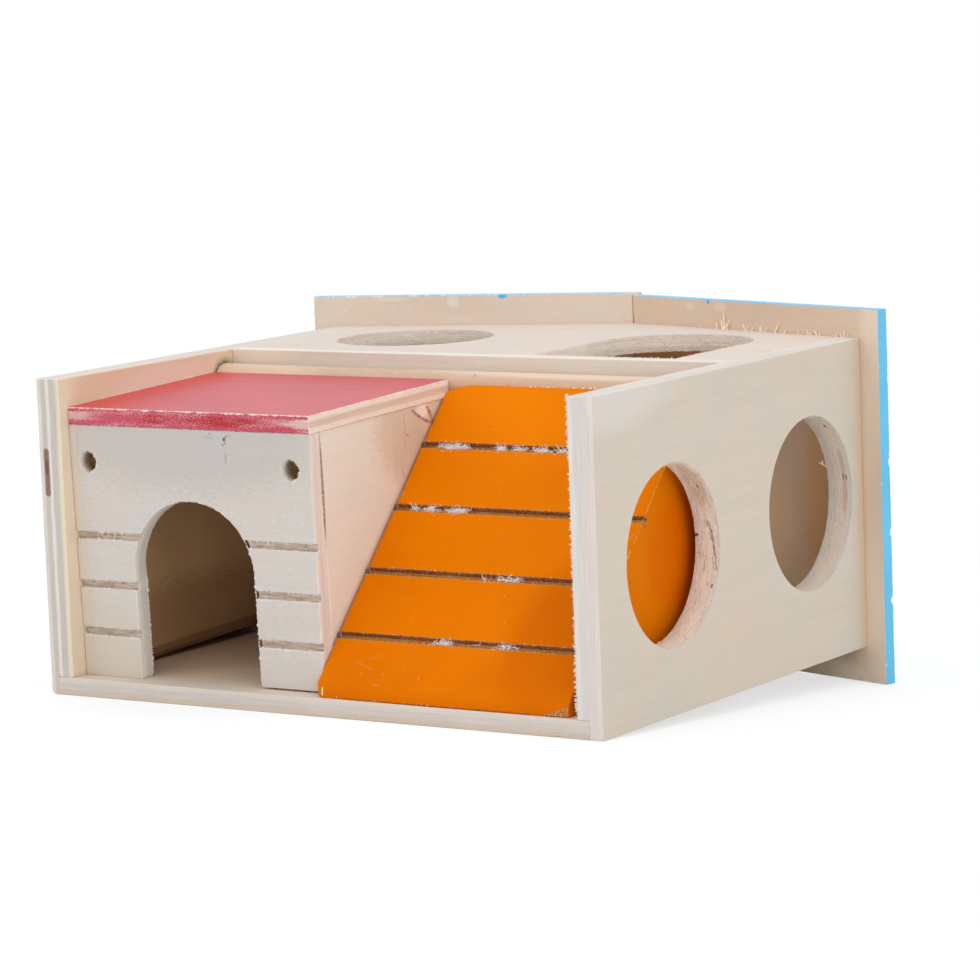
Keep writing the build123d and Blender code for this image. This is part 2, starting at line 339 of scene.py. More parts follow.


# %% [markdown]
# ## Torn rims
#
# A hole saw goes across the grain twice on its way round, and tears whole bundles of fibre.
# It leaves pale stubs, with painted glints on them, and dark pits along the cut. The tearing
# is kept to the cut walls of the given holes, so the faces beside them stay smooth.

# %% Rims of the round holes
def torn_rims(board, holes, contrast=1.0):
    """Roughens the sawn rims of round holes, given as (x, y, radius) on the board in mm."""
    tree = board.tree
    near = None
    for x, y, radius in holes:
        reach = away_from(tree, board.at, (x, y, 0), (1, 1, math.inf))
        reach = add(tree, "MapRange", (reach, radius + 1.5, radius + 1.0))
        near = reach if near is None else add(tree, "Math", (near, reach), operation="MAXIMUM")
    edge = add(tree, "Math", (1.0, board.flat), operation="SUBTRACT")
    near = add(tree, "Math", (near, edge), operation="MULTIPLY")
    bundle = noise_of(tree, board.at, (2.6, 2.6, 0.42), Detail=6.0, Roughness=0.76)
    tone = add(tree, "MapRange", (bundle, 0.3, 0.7, 1 - 0.17 * contrast, 1 + 0.25 * contrast))
    tone = add(tree, "Mix", {0: near, 2: 1.0, 3: tone}, data_type="FLOAT")
    colour = add(tree, "VectorMath", (board.colour, tone), operation="MULTIPLY")
    pit = noise_of(tree, board.at, (1.0, 1.0, 0.35), Detail=3.0)
    # Dark pits, then near-white painted glints on the torn stubs.
    for pattern, low, high, tint in ((pit, 0.64, 0.7, "#8E6C50"), (bundle, 0.58, 0.66, "#FFF6EA")):
        shown = add(tree, "MapRange", (pattern, low, high, 0.0, 0.6 * contrast))
        shown = add(tree, "Math", (shown, near), operation="MULTIPLY")
        colour = add(tree, "Mix", {0: shown, A: colour, B: tint}, data_type="RGBA")
    board.colour = colour
    rough = add(tree, "Math", (bundle, near), operation="MULTIPLY")
    board.height = add(tree, "Math", (rough, 20.0, board.height), operation="MULTIPLY_ADD")


# %% [markdown]
# ## Worn edges
#
# A board from a real shop never ends in a knife edge. The saw leaves it ragged, and
# sanding breaks the corner by a quarter of a millimetre, more in some places than others,
# with a nick here and there. A bevel modifier gives the same width everywhere, which the
# eye knows as computer work. So each CAD board is copied, its sharp edges are cut into
# short lengths and bevelled, and then the bevel's width is varied point by point: each new
# vertex is pushed away from, or back to, the sharp edge that it came from. Flat faces stay
# flat, since the push never leaves their plane. How far a point was pushed is kept with
# the mesh, so that paint can be missing exactly where the edge was knocked.

# %% Copy a CAD board and cut its edges short
def cad_copy(node):
    """An editable copy of a CAD board, with flat faces whole and round ones shaded smooth."""
    bm = bmesh.new()
    bm.from_mesh(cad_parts[node].data)
    bmesh.ops.remove_doubles(bm, verts=bm.verts, dist=2e-6)
    bmesh.ops.dissolve_limit(bm, angle_limit=math.radians(0.4), verts=bm.verts[:], edges=bm.edges[:])
    for face in bm.faces:
        face.smooth = any(0.01 < e.calc_face_angle(0) < math.radians(20) for e in face.edges)
    return bm


def round_over(bm, chosen, radius):
    """Rounds the edges that have both their ends where chosen(point) is true."""
    edges = [e for e in bm.edges if all(chosen(v.co) for v in e.verts)]
    made = bmesh.ops.bevel(bm, geom=edges, offset=radius * MM, offset_type="OFFSET", segments=4,
                           profile=0.5, affect="EDGES")
    for face in made["faces"]:
        face.smooth = True


def short_lengths(bm, step):
    """Splits every sharp outer edge into short lengths, and returns them."""
    def is_sharp(edge):
        return len(edge.link_faces) == 2 and edge.is_convex and edge.calc_face_angle() > math.radians(30)

    for edge in [e for e in bm.edges if is_sharp(e)]:
        start = edge.verts[0]
        for left in range(math.ceil(edge.calc_length() / (step * MM)), 1, -1):
            start = bmesh.utils.edge_split(edge, start, 1 / left)[1]
    return [e for e in bm.edges if is_sharp(e)]


# %% [markdown]
# ## How uneven an edge is
#
# The bevel's width follows three sizes of noise for the saw's and the sandpaper's wander,
# and one slow noise that only now and then rises far enough to make a nick.

# %% Bevel and push
def unevenness(spot, wander, nicks):
    """The bevel's width at a spot in mm, as a share of its plain width."""
    small = noise.noise(spot * 0.9) + 0.6 * noise.noise(spot * 2.1) + 0.5 * noise.noise(spot * 4.7)
    nick = max(0.0, noise.noise(spot * 0.23 + Vector((9, 4, 7))) - 0.28) * 3.2
    nick *= max(0.0, 0.6 + noise.noise(spot * 1.3))
    return max(0.35, min(1 + wander * small + nicks * nick, 4.5))


def ease_edges(bm, sharp, ease, width, dub, flaked):
    """Bevels sharp edges and pushes each new point away from its sharp corner."""
    corners = {v: v.co.copy() for e in sharp for v in e.verts}
    tree = KDTree(len(corners))
    for number, place in enumerate(corners.values()):
        tree.insert(place, number)
    tree.balance()
    made = bmesh.ops.bevel(bm, geom=sharp, offset=ease * MM, offset_type="OFFSET", segments=2,
                           profile=0.5, affect="EDGES", clamp_overlap=True)
    strips = set(made["faces"])
    pushed = {}
    for vert in {v for f in strips for v in f.verts}:
        corner = tree.find(vert.co)[0]
        pushed[vert] = width(corner / MM) + flaked(corner)
        vert.co = corner + (vert.co - corner) * (pushed[vert] + dub(corner))
    worn = bm.loops.layers.float.new("worn")
    for face in strips:
        face.smooth = True
        for loop in face.loops:
            loop[worn] = pushed[loop.vert]


# %% [markdown]
# ## From a CAD board to a worn one
#
# The worn copy takes the CAD board's place in the scene: it is hung on the house's root
# body, and the CAD board is hidden. Two rules can push an edge further at certain points:
# one for a corner that was trimmed and then painted, one for a flake that broke off later
# and took its paint along.

# %% A worn board
def house_piece(name, mesh, material):
    """Puts a mesh into the scene as a piece of the house."""
    mesh.materials.append(material)
    made = bpy.data.objects.new(name, mesh)
    bpy.context.scene.collection.objects.link(made)
    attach(made, "root")
    return made


def worn_board(node, material, seed, ease=0.22, wander=0.45, nicks=1.0, step=1.1, rounds=(),
               dub=lambda point: 0.0, flaked=lambda point: 0.0):
    """Lets a worn copy stand for a CAD board. ease is the bevel in mm, rounds are (chosen, radius), and
    dub(point) and flaked(point) push the edge further: dub keeps its paint, flaked loses it."""
    bm = cad_copy(node)
    for chosen, radius in rounds:
        round_over(bm, chosen, radius)
    sharp = short_lengths(bm, step)
    shift = Vector((seed * 17.3, seed * 5.1, 0))
    lengths = len(sharp)
    ease_edges(bm, sharp, ease, lambda spot: unevenness(spot + shift, wander, nicks), dub, flaked)
    bmesh.ops.triangulate(bm, faces=[f for f in bm.faces if len(f.verts) > 4])
    mesh = bpy.data.meshes.new(node + "_board")
    bm.to_mesh(mesh)
    bm.free()
    board = house_piece(node + "_board", mesh, material)
    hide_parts(node)
    print(f"{node}: {len(mesh.polygons)} faces, {lengths} lengths of eased edge")
    return board


# %% [markdown]
# ## Left wall
#
# The two side walls are the thickest sheets, 6.4 mm of uneven plies, standing with their
# face grain from front to back. The left wall has a dark patch of bark-stained core on its
# front edge, a thing that cheap plywood often shows. Its lower outer edge is rubbed round.
# Its inner face has painted light above the roof and along its front, and painted shade
# in the corner behind the roof and along the floor. A ply is written as its thickness, its
# end-grain tone and its tone along the grain.

# %% Left wall
PALE, GREY, PINK = "#E6E0D9", "#D2CBC3", "#DCCFC6"  # veneer tones that several sheets share

left_plies = [(1.1, "#DAD4CE", "#D8D0C6"), (1.6, "#C8BFB4", "#DCD6CF"), (0.6, "#E2DEDA", GREY),
              (2.2, "#C6BFB6", "#DCD6CF"), (0.9, "#DCD2BA", "#DAD2C8")]
left_marks = [
    ((42, 66, WALL), (31, 9, 2), "#F0DFD0", 0.6),  # painted light in the band above the roof
    ((64.3, 67.5, WALL), (5.2, 5.2, 1), "#3B2A1E", 0.85),  # painted shade in the corner behind the roof
    ((41, 4.4, WALL), (41, 2.6, 1), "#30180C", 0.9),  # painted shade along the joint with the floor
    ((2.5, 32, WALL), (5.5, 66, 1.5), "#EADCC6", 0.5),  # painted light on the strip in front of the room
    (((0, 47.4, 1.95), (0, 57.0, 1.95)), (2.2, 1.0, 0.95), "#8A6355", 0.95),  # bark stain
    ((0, 53.4, 1.9), (2.0, 2.2, 0.6), "#70453F", 0.8),
]
left_wood = wood("sanded_poplar_plywood_left_wall", board_axes(HOUSE, (0, 0, 0), BACK, UP, RIGHT), left_plies,
                 "#EAD9BC", "#E0CAA8", marks=left_marks)
worn_board("left_wall", bare(left_wood), seed=1,
           rounds=((lambda p: (HOUSE.inverted() @ p).xz.length < 0.3, 1.0),))

# %% [markdown]
# ## Right wall
#
# Here the inner ply is almost white and the core is pinkish. A hole saw cut the two round
# entrances. The front one's rim has broken core: one long crack that runs from stroke to
# stroke, and a few pits. A place on a rim is given by an angle, from the back upwards, and
# by how far it is from the wall's inner face.

# %% Right wall's marks
WALL_X = 143.6  # the right wall's inner face
FRONT_HOLE, REAR_HOLE = (32.4, 35.4, 20.4), (96.4, 38.0, 20.4)  # (back, up, radius)


def on_rim(hole, angle, deep):
    """A point on a hole's rim, on the wall's own axes."""
    back, up, radius = hole
    return back + radius * math.cos(math.radians(angle)), up + radius * math.sin(math.radians(angle)), deep


CRACK = ((12, 4.0, 6, 4.25, 0.22), (7, 4.4, 1, 4.5, 0.34), (2, 4.75, -4, 4.7, 0.26),
         (-3, 4.9, -8, 5.0, 0.34), (-8, 5.2, -13, 5.5, 0.24), (-13, 5.4, -17, 5.8, 0.3),
         (5, 3.9, 2, 4.2, 0.16), (-10, 4.6, -14, 4.8, 0.16))  # angle and depth of both ends, width
# Pits are (angle, depth, size, tint, strength).
FRONT_PITS = ((4, 0.2, (1.4, 0.5, 1.0), "#2B180E", 0.9), (40, 3.8, (0.8, 0.9, 0.35), "#7A5238", 0.8),
              (-28, 5.3, (0.7, 0.6, 0.35), "#6B462F", 0.8), (-27, 4.2, (0.7, 0.5, 0.3), "#6B462F", 0.6),
              (12, 3.6, (0.8, 1.0, 0.3), "#8E6A4C", 0.6), (-16, 2.6, (0.8, 2.2, 0.25), "#A6805F", 0.6))
REAR_PITS = ((10.5, 4.3, (0.7, 1.3, 0.3), "#5E4636", 0.8), (10.0, 5.0, (0.7, 0.9, 0.26), "#5E4636", 0.8),
             (55, 4.2, (1.2, 0.7, 0.45), "#54453A", 0.8), (22, 4.5, (4.0, 4.6, 0.7), "#C4A48E", 0.5),
             (-2, 4.5, (4.0, 5.5, 0.8), "#C4A48E", 0.6), (-30, 2.0, (6.0, 5.0, 1.2), "#E9DCBE", 0.5))
right_marks = [
    ((32.4, 35.4, 3.2), (30, 30, 4.2), "#F4E9D6", 0.9),  # the rims are paler than the faces, and lighter still as painted light in the shaded holes
    ((96.4, 38.0, 3.2), (30, 30, 4.2), "#F4E0C8", 0.85),
    ((122.4, 37, WALL), (4.0, 60, 3), "#DFC59C", 0.5),  # warm rear end
    ((60, 8, WALL), (30, 16, 2), "#D9C6B4", 0.3),  # tinge between the holes, low down
    ((6, 75, WALL), (34, 11, 2), "#E4DEDC", 0.42),  # grey-white front corner
    ((64, 76.5, 6.6), (84, 3.4, 1.2), "#DFDACF", 0.5),  # sanded upper edge
    (on_rim(FRONT_HOLE, 44, 3.4), (11, 9, 2.8), "#C9B096", 0.75),  # shaded top of the front rim
]
for first, deep, last, deeper, wide in CRACK:
    ends = (on_rim(FRONT_HOLE, first, deep), on_rim(FRONT_HOLE, last, deeper))
    right_marks.append((ends, (0.8, 0.4, 0.8 * wide), "#6A4422", 0.62))
for hole, pits in ((FRONT_HOLE, FRONT_PITS), (REAR_HOLE, REAR_PITS)):
    right_marks += [(on_rim(hole, angle, deep), *look) for angle, deep, *look in pits]
print(f"right wall: {len(right_marks)} marks, {len(CRACK)} of them along the crack")

# %% Right wall
right_plies = [(1.3, "#DDD8D3", "#DED6CE"), (1.9, "#D5CFCD", "#DCD4CC"), (2.2, "#DACFCA", "#DAD1C8"),
               (1.0, "#DCD4CC", "#DDD5CC")]
right_wood = wood("sanded_poplar_plywood_right_wall", board_axes(HOUSE, (WALL_X, 0, 0), BACK, UP, RIGHT),
                  right_plies, "#D6CCBE", "#CABFAE", figure=0.8, grain=0.5, arris=1.0, marks=right_marks)
torn_rims(right_wood, (FRONT_HOLE,), contrast=1.15)
torn_rims(right_wood, (REAR_HOLE,), contrast=0.45)


def snag(point):
    """A notch in the front hole's inner rim."""
    x, y, z = HOUSE.inverted() @ point
    return 2.2 if x < 144.2 and math.hypot(y - 52.1, z - 40.7) < 0.45 else 0.0


worn_board("right_wall", bare(right_wood), ease=0.45, seed=2, step=0.9, dub=snag)

# %% [markdown]
# ## Floor and deck
#
# Both are 4.2 mm three-ply sheets with their grain from side to side. The floor is let
# into rabbets in the walls, so its layered front edge runs past the walls' inner faces.
# The deck is the brightest board, since it faces the light. Its two entrances, one round
# and one that runs out to the right as a slot, are torn less than the wall's.

# %% Floor and deck
floor_plies = [(1.4, PINK, "#CFBFB0"), (1.7, PALE, "#CFC7C0"), (1.1, GREY, "#D8CEC4")]
floor_marks = [
    ((31, 44, SHEET), (24, 34, 1), "#F8D8BC", 0.8),  # painted warm light on the floor inside the room
    ((8.0, 42, SHEET), (3.4, 42, 1), "#8A5A3C", 0.9),  # painted shade along the joint with the room's side
    ((75, 2, SHEET), (110, 4.2, 1), "#DCD0C6", 0.7),  # sanded front strip
    ((107, 1.25, SHEET), (34, 0.4, 0.6), "#5A2E12", 0.85),  # painted shade in the gap under the ramp's toe
]
floor_wood = wood("sanded_poplar_plywood_floor", board_axes(HOUSE, (0, 0, 0), RIGHT, BACK, UP), floor_plies,
                  "#E6D6C4", "#D6BEA2", arris=1.0, marks=floor_marks)
worn_board("floor_panel", bare(floor_wood), seed=3)

DECK_HOLE, DECK_SLOT = (38, 101.4, 19.4), (109.3, 104.6, 19.4)  # (right, back, radius)
# The plies are lighter than the face, partly as painted light on the rims, which lie in shade.
deck_plies = [(1.2, "#F2E2D4", "#F0DCCC"), (1.8, "#F8ECDD", "#F6E8D6"), (1.2, "#F4E2D6", "#F2DED0")]
deck_marks = [
    ((141, 91.3, SHEET), (3.2, 0.5, 0.6), "#A9937F", 0.5),  # scratch
    ((112, 73, SHEET), (30, 2.6, 1), "#E8E5EC", 0.6),  # cool strip before the slot
    ((92.6, 94.0, 2.9), (0.6, 0.7, 0.5), "#7E6A44", 0.8),  # chips in the slot's rim
    ((95.5, 91.5, 3.6), (0.8, 0.8, 0.7), "#F8EEE2", 0.9),
    ((20.0, 94.5, 2.6), (0.8, 0.8, 1.4), "#F4E2D0", 0.9),  # chips in the hole's rim
    ((20.0, 93.5, 0.9), (1.6, 1.6, 0.4), "#8A7460", 0.7),
]
deck_wood = wood("sanded_poplar_plywood_deck", board_axes(HOUSE, (0, 0, 69.8), RIGHT, BACK, UP), deck_plies,
                 "#DFD3CA", "#D8CABE", figure=0.9, arris=1.0, marks=deck_marks)
torn_rims(deck_wood, (DECK_HOLE, DECK_SLOT), contrast=0.7)
worn_board("deck", bare(deck_wood), nicks=0.6, seed=4)

# %% [markdown]
# ## Partition and step rail
#
# These two are planed softwood, probably pine offcuts, so there are no plies: the same
# long grain shows on the face and on the top. The rail's front corner is rounded over,
# because it is the step at the head of the ramp. It was planed a little thin, most of all
# towards the right, so its top is lowered point by point while its foot stays in place.

# %% Partition and rail
partition_marks = [
    ((22, 28, 0), (34, 24, 1.5), "#C08A50", 0.7),  # painted warm shade inside the room
    ((4, 1, 2), (22, 3, 4), "#EFE4D2", 0.6),  # sanded top edge, with a painted highlight along it
    ((74, 0, 1), (100, 0.6, 2.5), "#E9E2DE", 0.6),
    ((4, 69, 0), (14, 8, 1.5), "#8A5636", 0.75),  # painted shade at the foot, inside the room
]
partition_wood = wood("planed_pine_partition", board_axes(HOUSE, (WALL, 68, 74), RIGHT, DOWN, BACK), (),
                      "#E5DDD2", "#D5C9B9", marks=partition_marks)
worn_board("partition", bare(partition_wood, rough=0.7), ease=0.2, seed=5)

rail_marks = [
    ((4, 2, 1.5), (30, 5, 4), "#EBCDB4", 0.6),  # pale left end
    ((98, 0.4, 4), (46, 1.7, 5), "#F3D8C2", 0.6),  # painted highlight on the top towards the right
    ((70, 3.6, 1), (90, 1.7, 6), "#D6A67C", 0.5),  # painted shade along the lower front, where the round turns away
    ((74, 1.2, 1.5), (0.5, 0.4, 1.5), "#8A6A50", 0.45),  # two dents
    ((84, 3.0, 0.4), (0.4, 0.35, 0.8), "#8A6A50", 0.4),
]
rail_wood = wood("planed_pine_rail", board_axes(HOUSE, (6.7, 60.3, 71.2), RIGHT, DOWN, BACK), (),
                 "#D3B7A1", "#C6A387", marks=rail_marks)
rail = worn_board("step_rail", bare(rail_wood, rough=0.62), ease=0.15, seed=6)
RAIL_FOOT, RAIL_HIGH = 65.6, 5.6
THIN = 0.35  # the top is lowered by this much, and by as much again from x = 27 to x = 57
for vertex in rail.data.vertices:
    x, y, z = HOUSE.inverted() @ vertex.co
    sunk = (THIN + THIN * min(1.0, max(0.0, (x - 27) / 30))) * (z - RAIL_FOOT) / RAIL_HIGH
    vertex.co = HOUSE @ Vector((x, y, z - sunk))

# %% [markdown]
# ## The little room's front
#
# The facade is three-ply with its grain across. A grey-brown stain sits high up on it, and
# the wood inside the peepholes is darker. Three kerfs were sawn into it on each side of the
# door, for looks only. Their floors are torn and scorched, most of all along their lower
# sides, so a burn is worked out from how far a point is below a kerf's middle.

# %% Facade's marks
ROOM_HIGH = 58.9
KERFS = ((33.2, 0.02), (21.7, 0.02), (10.5, 0.04))  # (height, how far it is scorched)
room_plies = [(1.2, "#E9E5DD", "#DDD6CC"), (1.7, "#E4DAD0", "#E4DDD2"), (1.3, "#E7E1D8", "#D9D1C6")]
facade_marks = [
    ((40, -1, 0), (48, 19, 0.8), "#BAB3AE", 0.6),  # grey shade under the roof
    ((14, 56, 0), (16, 18, 0.8), "#D2C2AE", 0.45),  # warm lower left corner
    ((49.0, 3.0, 0), (6.5, 4.6, 0.8), "#BDBEC2", 0.3),  # the stain: a faint cloud, then its specks
    ((50.8, 1.9, 0), (0.5, 0.6, 0.8), "#65505E", 0.9),
    ((51.3, 1.3, 0), (0.3, 0.4, 0.8), "#7A6874", 0.7),
    ((50.4, 3.1, 0), (0.35, 0.5, 0.8), "#86747E", 0.6),
    ((51.1, 2.8, 0), (0.25, 0.45, 0.8), "#6E5C68", 0.7),
    ((50.9, 6.3, 0), (0.4, 1.7, 0.8), "#9C8F96", 0.55),
    ((46.6, 1.5, 0), (1.8, 0.5, 0.8), "#A3A2A2", 0.4),
    ((46.9, 0.7, 0), (0.7, 0.28, 0.8), "#7E7277", 0.4),
    ((52.3, 1.0, 0), (1.0, 0.3, 0.8), "#8F8A8C", 0.35),
    ((6.3, 30, 0), (0.4, 60, 1.2), "#5A4028", 0.85),  # painted shade in the gap beside the left wall
    ((74.3, 13, 4.4), (0.8, 17, 0.75), "#80604F", 0.9),  # painted shade in the gap at the room's side
    ((11.5, 8.5, 3.7), (4.6, 4.6, 3.3), "#9A7A4A", 0.85),  # the peepholes' insides
    ((68.7, 8.3, 3.7), (4.6, 4.6, 3.3), "#9A7A4A", 0.85),
    ((7.5, 30, 0), (1.1, 60, 0.8), "#E2CFB6", 0.6),  # rubbed left edge
]
print(f"facade: {len(facade_marks)} marks, {len(KERFS)} kerfs on each side")

# %% Facade
facade_wood = wood("sanded_poplar_plywood_facade", board_axes(ROOM, (0, 0, ROOM_HIGH), RIGHT, DOWN, BACK),
                   room_plies, "#D7D1CA", "#C9C1B8", figure=0.85, grain=1.25, marks=facade_marks)
tree = facade_wood.tree
across, down, deep = add(tree, "SeparateXYZ", (facade_wood.at,)).outputs
burn = noise_of(tree, facade_wood.at, (3.5, 0.45, 2), Detail=4.0, Roughness=0.65)
for height, scorch in KERFS:
    middle = ROOM_HIGH - height
    low = add(tree, "MapRange", (down, middle - 0.9, middle + 0.9, scorch - 0.01, scorch + 0.03))
    near = add(tree, "Math", (down, middle, 1.0), operation="COMPARE")
    burn = add(tree, "Math", (near, low, burn), operation="MULTIPLY_ADD")
burn = add(tree, "MapRange", (burn, 0.44, 0.74))
torn = add(tree, "Mix", {0: burn, A: "#D2C3B6", B: "#9A7F68"}, data_type="RGBA")
inside = add(tree, "Math", (deep, 1.1, 0.35), operation="COMPARE")
inside = add(tree, "Math", (inside, facade_wood.flat), operation="MULTIPLY")
facade_wood.colour = add(tree, "Mix", {0: inside, A: facade_wood.colour, B: torn}, data_type="RGBA")
worn_board("facade", bare(facade_wood), ease=0.16, nicks=2.2, wander=0.8, seed=7, step=0.55)

# %% [markdown]
# ## The little room's sides
#
# The two sides stand behind the facade, glued on. The left one is seen only inside the
# room: it is warm, with painted light from behind and painted shade towards the floor. The
# right one faces the ramp: it has a small looped knot with a vein running down from it, a
# band of painted warm light where the orange ramp lights it, painted shade in the gap along
# the ramp, and a dot of painted shade at the end of each of the ramp's cuts.

# %% Room sides
left_side_marks = [
    ((40, 0, SHEET), (60, 1.2, 1), "#2C1A10", 0.95),  # painted shade along the joint with the floor
    ((56, 26, SHEET), (26, 40, 1), "#E6C090", 0.6),  # light from behind
    ((34, 5, SHEET), (60, 15, 2), "#8F6236", 0.5),  # shade near the floor
    ((40, 1.4, SHEET), (60, 1.5, 1), "#6A4526", 0.55),
    ((5, 50.4, SHEET), (8, 6, 2.5), "#7E5628", 0.9),  # behind the left peephole
]
right_side_marks = [
    ((40, 54, SHEET), (17, 14, 2), "#CDB694", 0.5),  # warm wood round the knot
    ((45.6, 57.4, SHEET), (3.2, 2.2, 1), "#F8F2EA", 0.9),  # the knot's pale heart
    ((38.1, 53.4, SHEET), (0.6, 5.4, 0.8), "#C29A84", 0.35),  # the vein, with a dot beside it
    ((39.2, 52.7, SHEET), (0.6, 0.4, 0.8), "#8C6450", 0.6),
    ((35.6, 46.0, SHEET), (3.4, 14, 2), "#C8A69C", 0.2),  # two soft bands below the knot
    ((42.5, 50, SHEET), (5, 10, 2), "#CBA078", 0.22),
    ((36.4, 44.2, SHEET), (0.45, 1.6, 0.8), "#B0866F", 0.25),  # the vein's foot
    ((4.2, 46, SHEET), (0.55, 15, 1), "#8C6858", 0.85),  # painted shade in the gap at the facade
]
OUTLINE = (((41.9, 57.9), (44.2, 56.3)), ((44.2, 56.3), (47.2, 54.8)), ((47.2, 54.8), (49.8, 54.0)),
           ((47.9, 57.9), (48.7, 56.7)), ((48.7, 56.7), (49.9, 54.2)))
for start, end in OUTLINE:
    right_side_marks.append((((*start, SHEET), (*end, SHEET)), (0.72, 0.42, 0.8), "#A06A52", 0.7))
# Along the ramp's edge: a wide stroke of painted warm light from the orange paint, and a narrow one of
# painted shade in the gap.
for wide, tint, strength in ((1.5, "#D2A474", 0.35), (0.26, "#9A5A24", 0.6)):
    slope = ((-2.0, 4.3, SHEET), (56.0, 60.5, SHEET))
    right_side_marks.append((slope, (wide, wide, 0.8), tint, strength))
# Painted shade where each of the ramp's cuts ends against the side.
for end in ((6.8, 11.9), (19.6, 24.3), (32.4, 36.7), (45.3, 49.2)):
    right_side_marks.append(((*end, SHEET), (1.1, 1.1, 0.8), "#6A3A16", 0.8))

# The left side is seen only inside the room: its darker, warmer tones are painted shade.
for node, x, tones, marks, grain, seed in (
        ("room_left_side", 6.45, ("#D3AE7E", "#C29868"), left_side_marks, 0.35, 8),
        ("room_right_side", 70.0, ("#EBE6DA", "#E2D7C8"), right_side_marks, 0.65, 9)):
    side_wood = wood(f"sanded_poplar_plywood_{node}", board_axes(ROOM, (x, 0, 0), BACK, UP, RIGHT),
                     room_plies, *tones, marks=marks, figure=0.6, grain=grain)
    worn_board(node, bare(side_wood), ease=0.18, seed=seed)

# %% [markdown]
# ## Brushed paint that wears
#
# The coloured boards carry one thin coat of water-based acrylic paint, brushed straight on
# to the ply. It has a soft gloss, and it is so thin that the figure of the wood still
# lifts it a little. Paint lies where the brush went, so each painted board says where with
# a mask of its own, worked out from which way a face looks and how far along the board it
# is. Wherever the bevel was knocked back, the mask gives way and pale wood shows.

# %% Paint over wood
def painted(board, cover, paint, thin, gloss=0.36, film=0.03, chips=(1.7, 2.1), shine=0.5, chipped="#EFE0CE",
            thinning_and_painted_light=0.0, cloudy=1.0, kept=0.0, scuffs_and_painted_light=()):
    """Lays paint over a wood material. cover is 1 where there is paint. paint and thin are its full and its
    thin tone, and thinning adds to the share of the thin one, for a thinner coat and for painted light and
    shade. chips says between which widths a worn edge loses its paint, kept holds it on, and scuffs are
    marks on the paint, painted highlights and shade among them. film is its thickness in mm."""
    tree = board.tree
    whole = add(tree, "Math", (board.pore, 1.8, board.worn), operation="MULTIPLY_ADD")
    whole = add(tree, "Math", (whole, kept), operation="SUBTRACT")
    lost = add(tree, "MapRange", (whole, chips[0] + 0.9, chips[1] + 0.9))
    lost = add(tree, "Math", (lost, cover), operation="MULTIPLY")
    raw = add(tree, "Mix", {0: lost, A: board.colour, B: chipped}, data_type="RGBA")
    cover = add(tree, "Math", (cover, lost), operation="SUBTRACT")
    cloud = noise_of(tree, board.at, 22, Detail=3.0)
    cloud = add(tree, "Math", (board.streak, 0.2, cloud), operation="MULTIPLY_ADD")
    cloud = add(tree, "MapRange", (cloud, 0.42, 0.78, 0.5 - 0.5 * cloudy, 0.5 + 0.5 * cloudy))
    cloud = add(tree, "Math", (cloud, thinning_and_painted_light), operation="ADD", use_clamp=True)
    coat = add(tree, "Mix", {0: cloud, A: paint, B: thin}, data_type="RGBA")
    coat = marked(board, coat, scuffs_and_painted_light)
    colour = add(tree, "Mix", {0: cover, A: raw, B: coat}, data_type="RGBA")
    satin = add(tree, "Math", (board.streak, 0.12, gloss - 0.06), operation="MULTIPLY_ADD")
    rough = add(tree, "Mix", {0: cover, 2: 0.8, 3: satin}, data_type="FLOAT")
    height = add(tree, "Math", (board.height, 0.3, cover), operation="MULTIPLY_ADD")
    bump = add(tree, "Bump", {"Height": height, "Distance": film * MM, "Strength": 0.82})
    skin = add(tree, "BsdfPrincipled", {"Base Color": colour, "Roughness": rough, "IOR": 1.48,
                                        "Specular IOR Level": shine, "Normal": bump})
    add(tree, "OutputMaterial", {"Surface": skin})
    return board.material


# %% [markdown]
# ## Where the roof is red
#
# The roof is painted on its top and its front edge only. The front edge took the paint
# badly: it is a sawn edge of crossed veneers, so red lies in streaks with raw wood between
# them, most of all along the core and towards both ends. The side edge is bare, tinged
# pink where the brush ran over.

# %% Roof's cover
ROOF_HALF, ROOF_CORE = 33.0, 2.3  # half the roof's width, and its core's height in the sheet
roof_plies = [(1.3, "#F0E4D8", "#EBD8D2"), (1.6, "#DEC8B6", "#E0BFB8"), (1.3, "#F2E8DE", "#F0DDD6")]
roof_wood = wood("painted_poplar_plywood_roof", board_axes(ROOM, (6.45, -0.1, ROOM_HIGH), RIGHT, BACK, UP),
                 roof_plies, "#E0CFC2", "#D2BBAA")
tree = roof_wood.tree
across, _, up = add(tree, "SeparateXYZ", (roof_wood.at,)).outputs
above = add(tree, "MapRange", (roof_wood.facing.outputs[2], 0.72, 0.95))
ahead = add(tree, "MapRange", (roof_wood.facing.outputs[1], -0.6, -0.9))
speck = noise_of(tree, roof_wood.at, (0.42, 0.3, 0.3), Detail=3.0, Roughness=0.65)
dry = noise_of(tree, roof_wood.at, (8, 8, 1.3), Detail=3.0, Roughness=0.6)
ends = add(tree, "Math", (across, ROOF_HALF), operation="SUBTRACT")
ends = add(tree, "Math", (ends, ROOF_HALF + 1), operation="DIVIDE")
ends = add(tree, "Math", (ends, 6.0), operation="POWER")
core = add(tree, "Math", (up, ROOF_CORE), operation="SUBTRACT")
core = add(tree, "Math", (core,), operation="ABSOLUTE")
core = add(tree, "MapRange", (core, 0.3, 1.2, 0.7, 0.0))
bald = add(tree, "Math", (ends, core, speck), operation="MULTIPLY_ADD")
bald = add(tree, "Math", (dry, 0.5, bald), operation="MULTIPLY_ADD")
bald = add(tree, "MapRange", (bald, 0.76, 1.04, 1.0, 0.18))
ahead = add(tree, "Math", (ahead, bald), operation="MULTIPLY")
tinge = add(tree, "MapRange", (up, 4.2, 3.7, 0.3, 0.0))
cover = add(tree, "Math", (above, ahead), operation="MAXIMUM")
cover = add(tree, "Math", (cover, tinge), operation="MAXIMUM")
print("roof: red on top, red in streaks in front, and tinged along its sides")
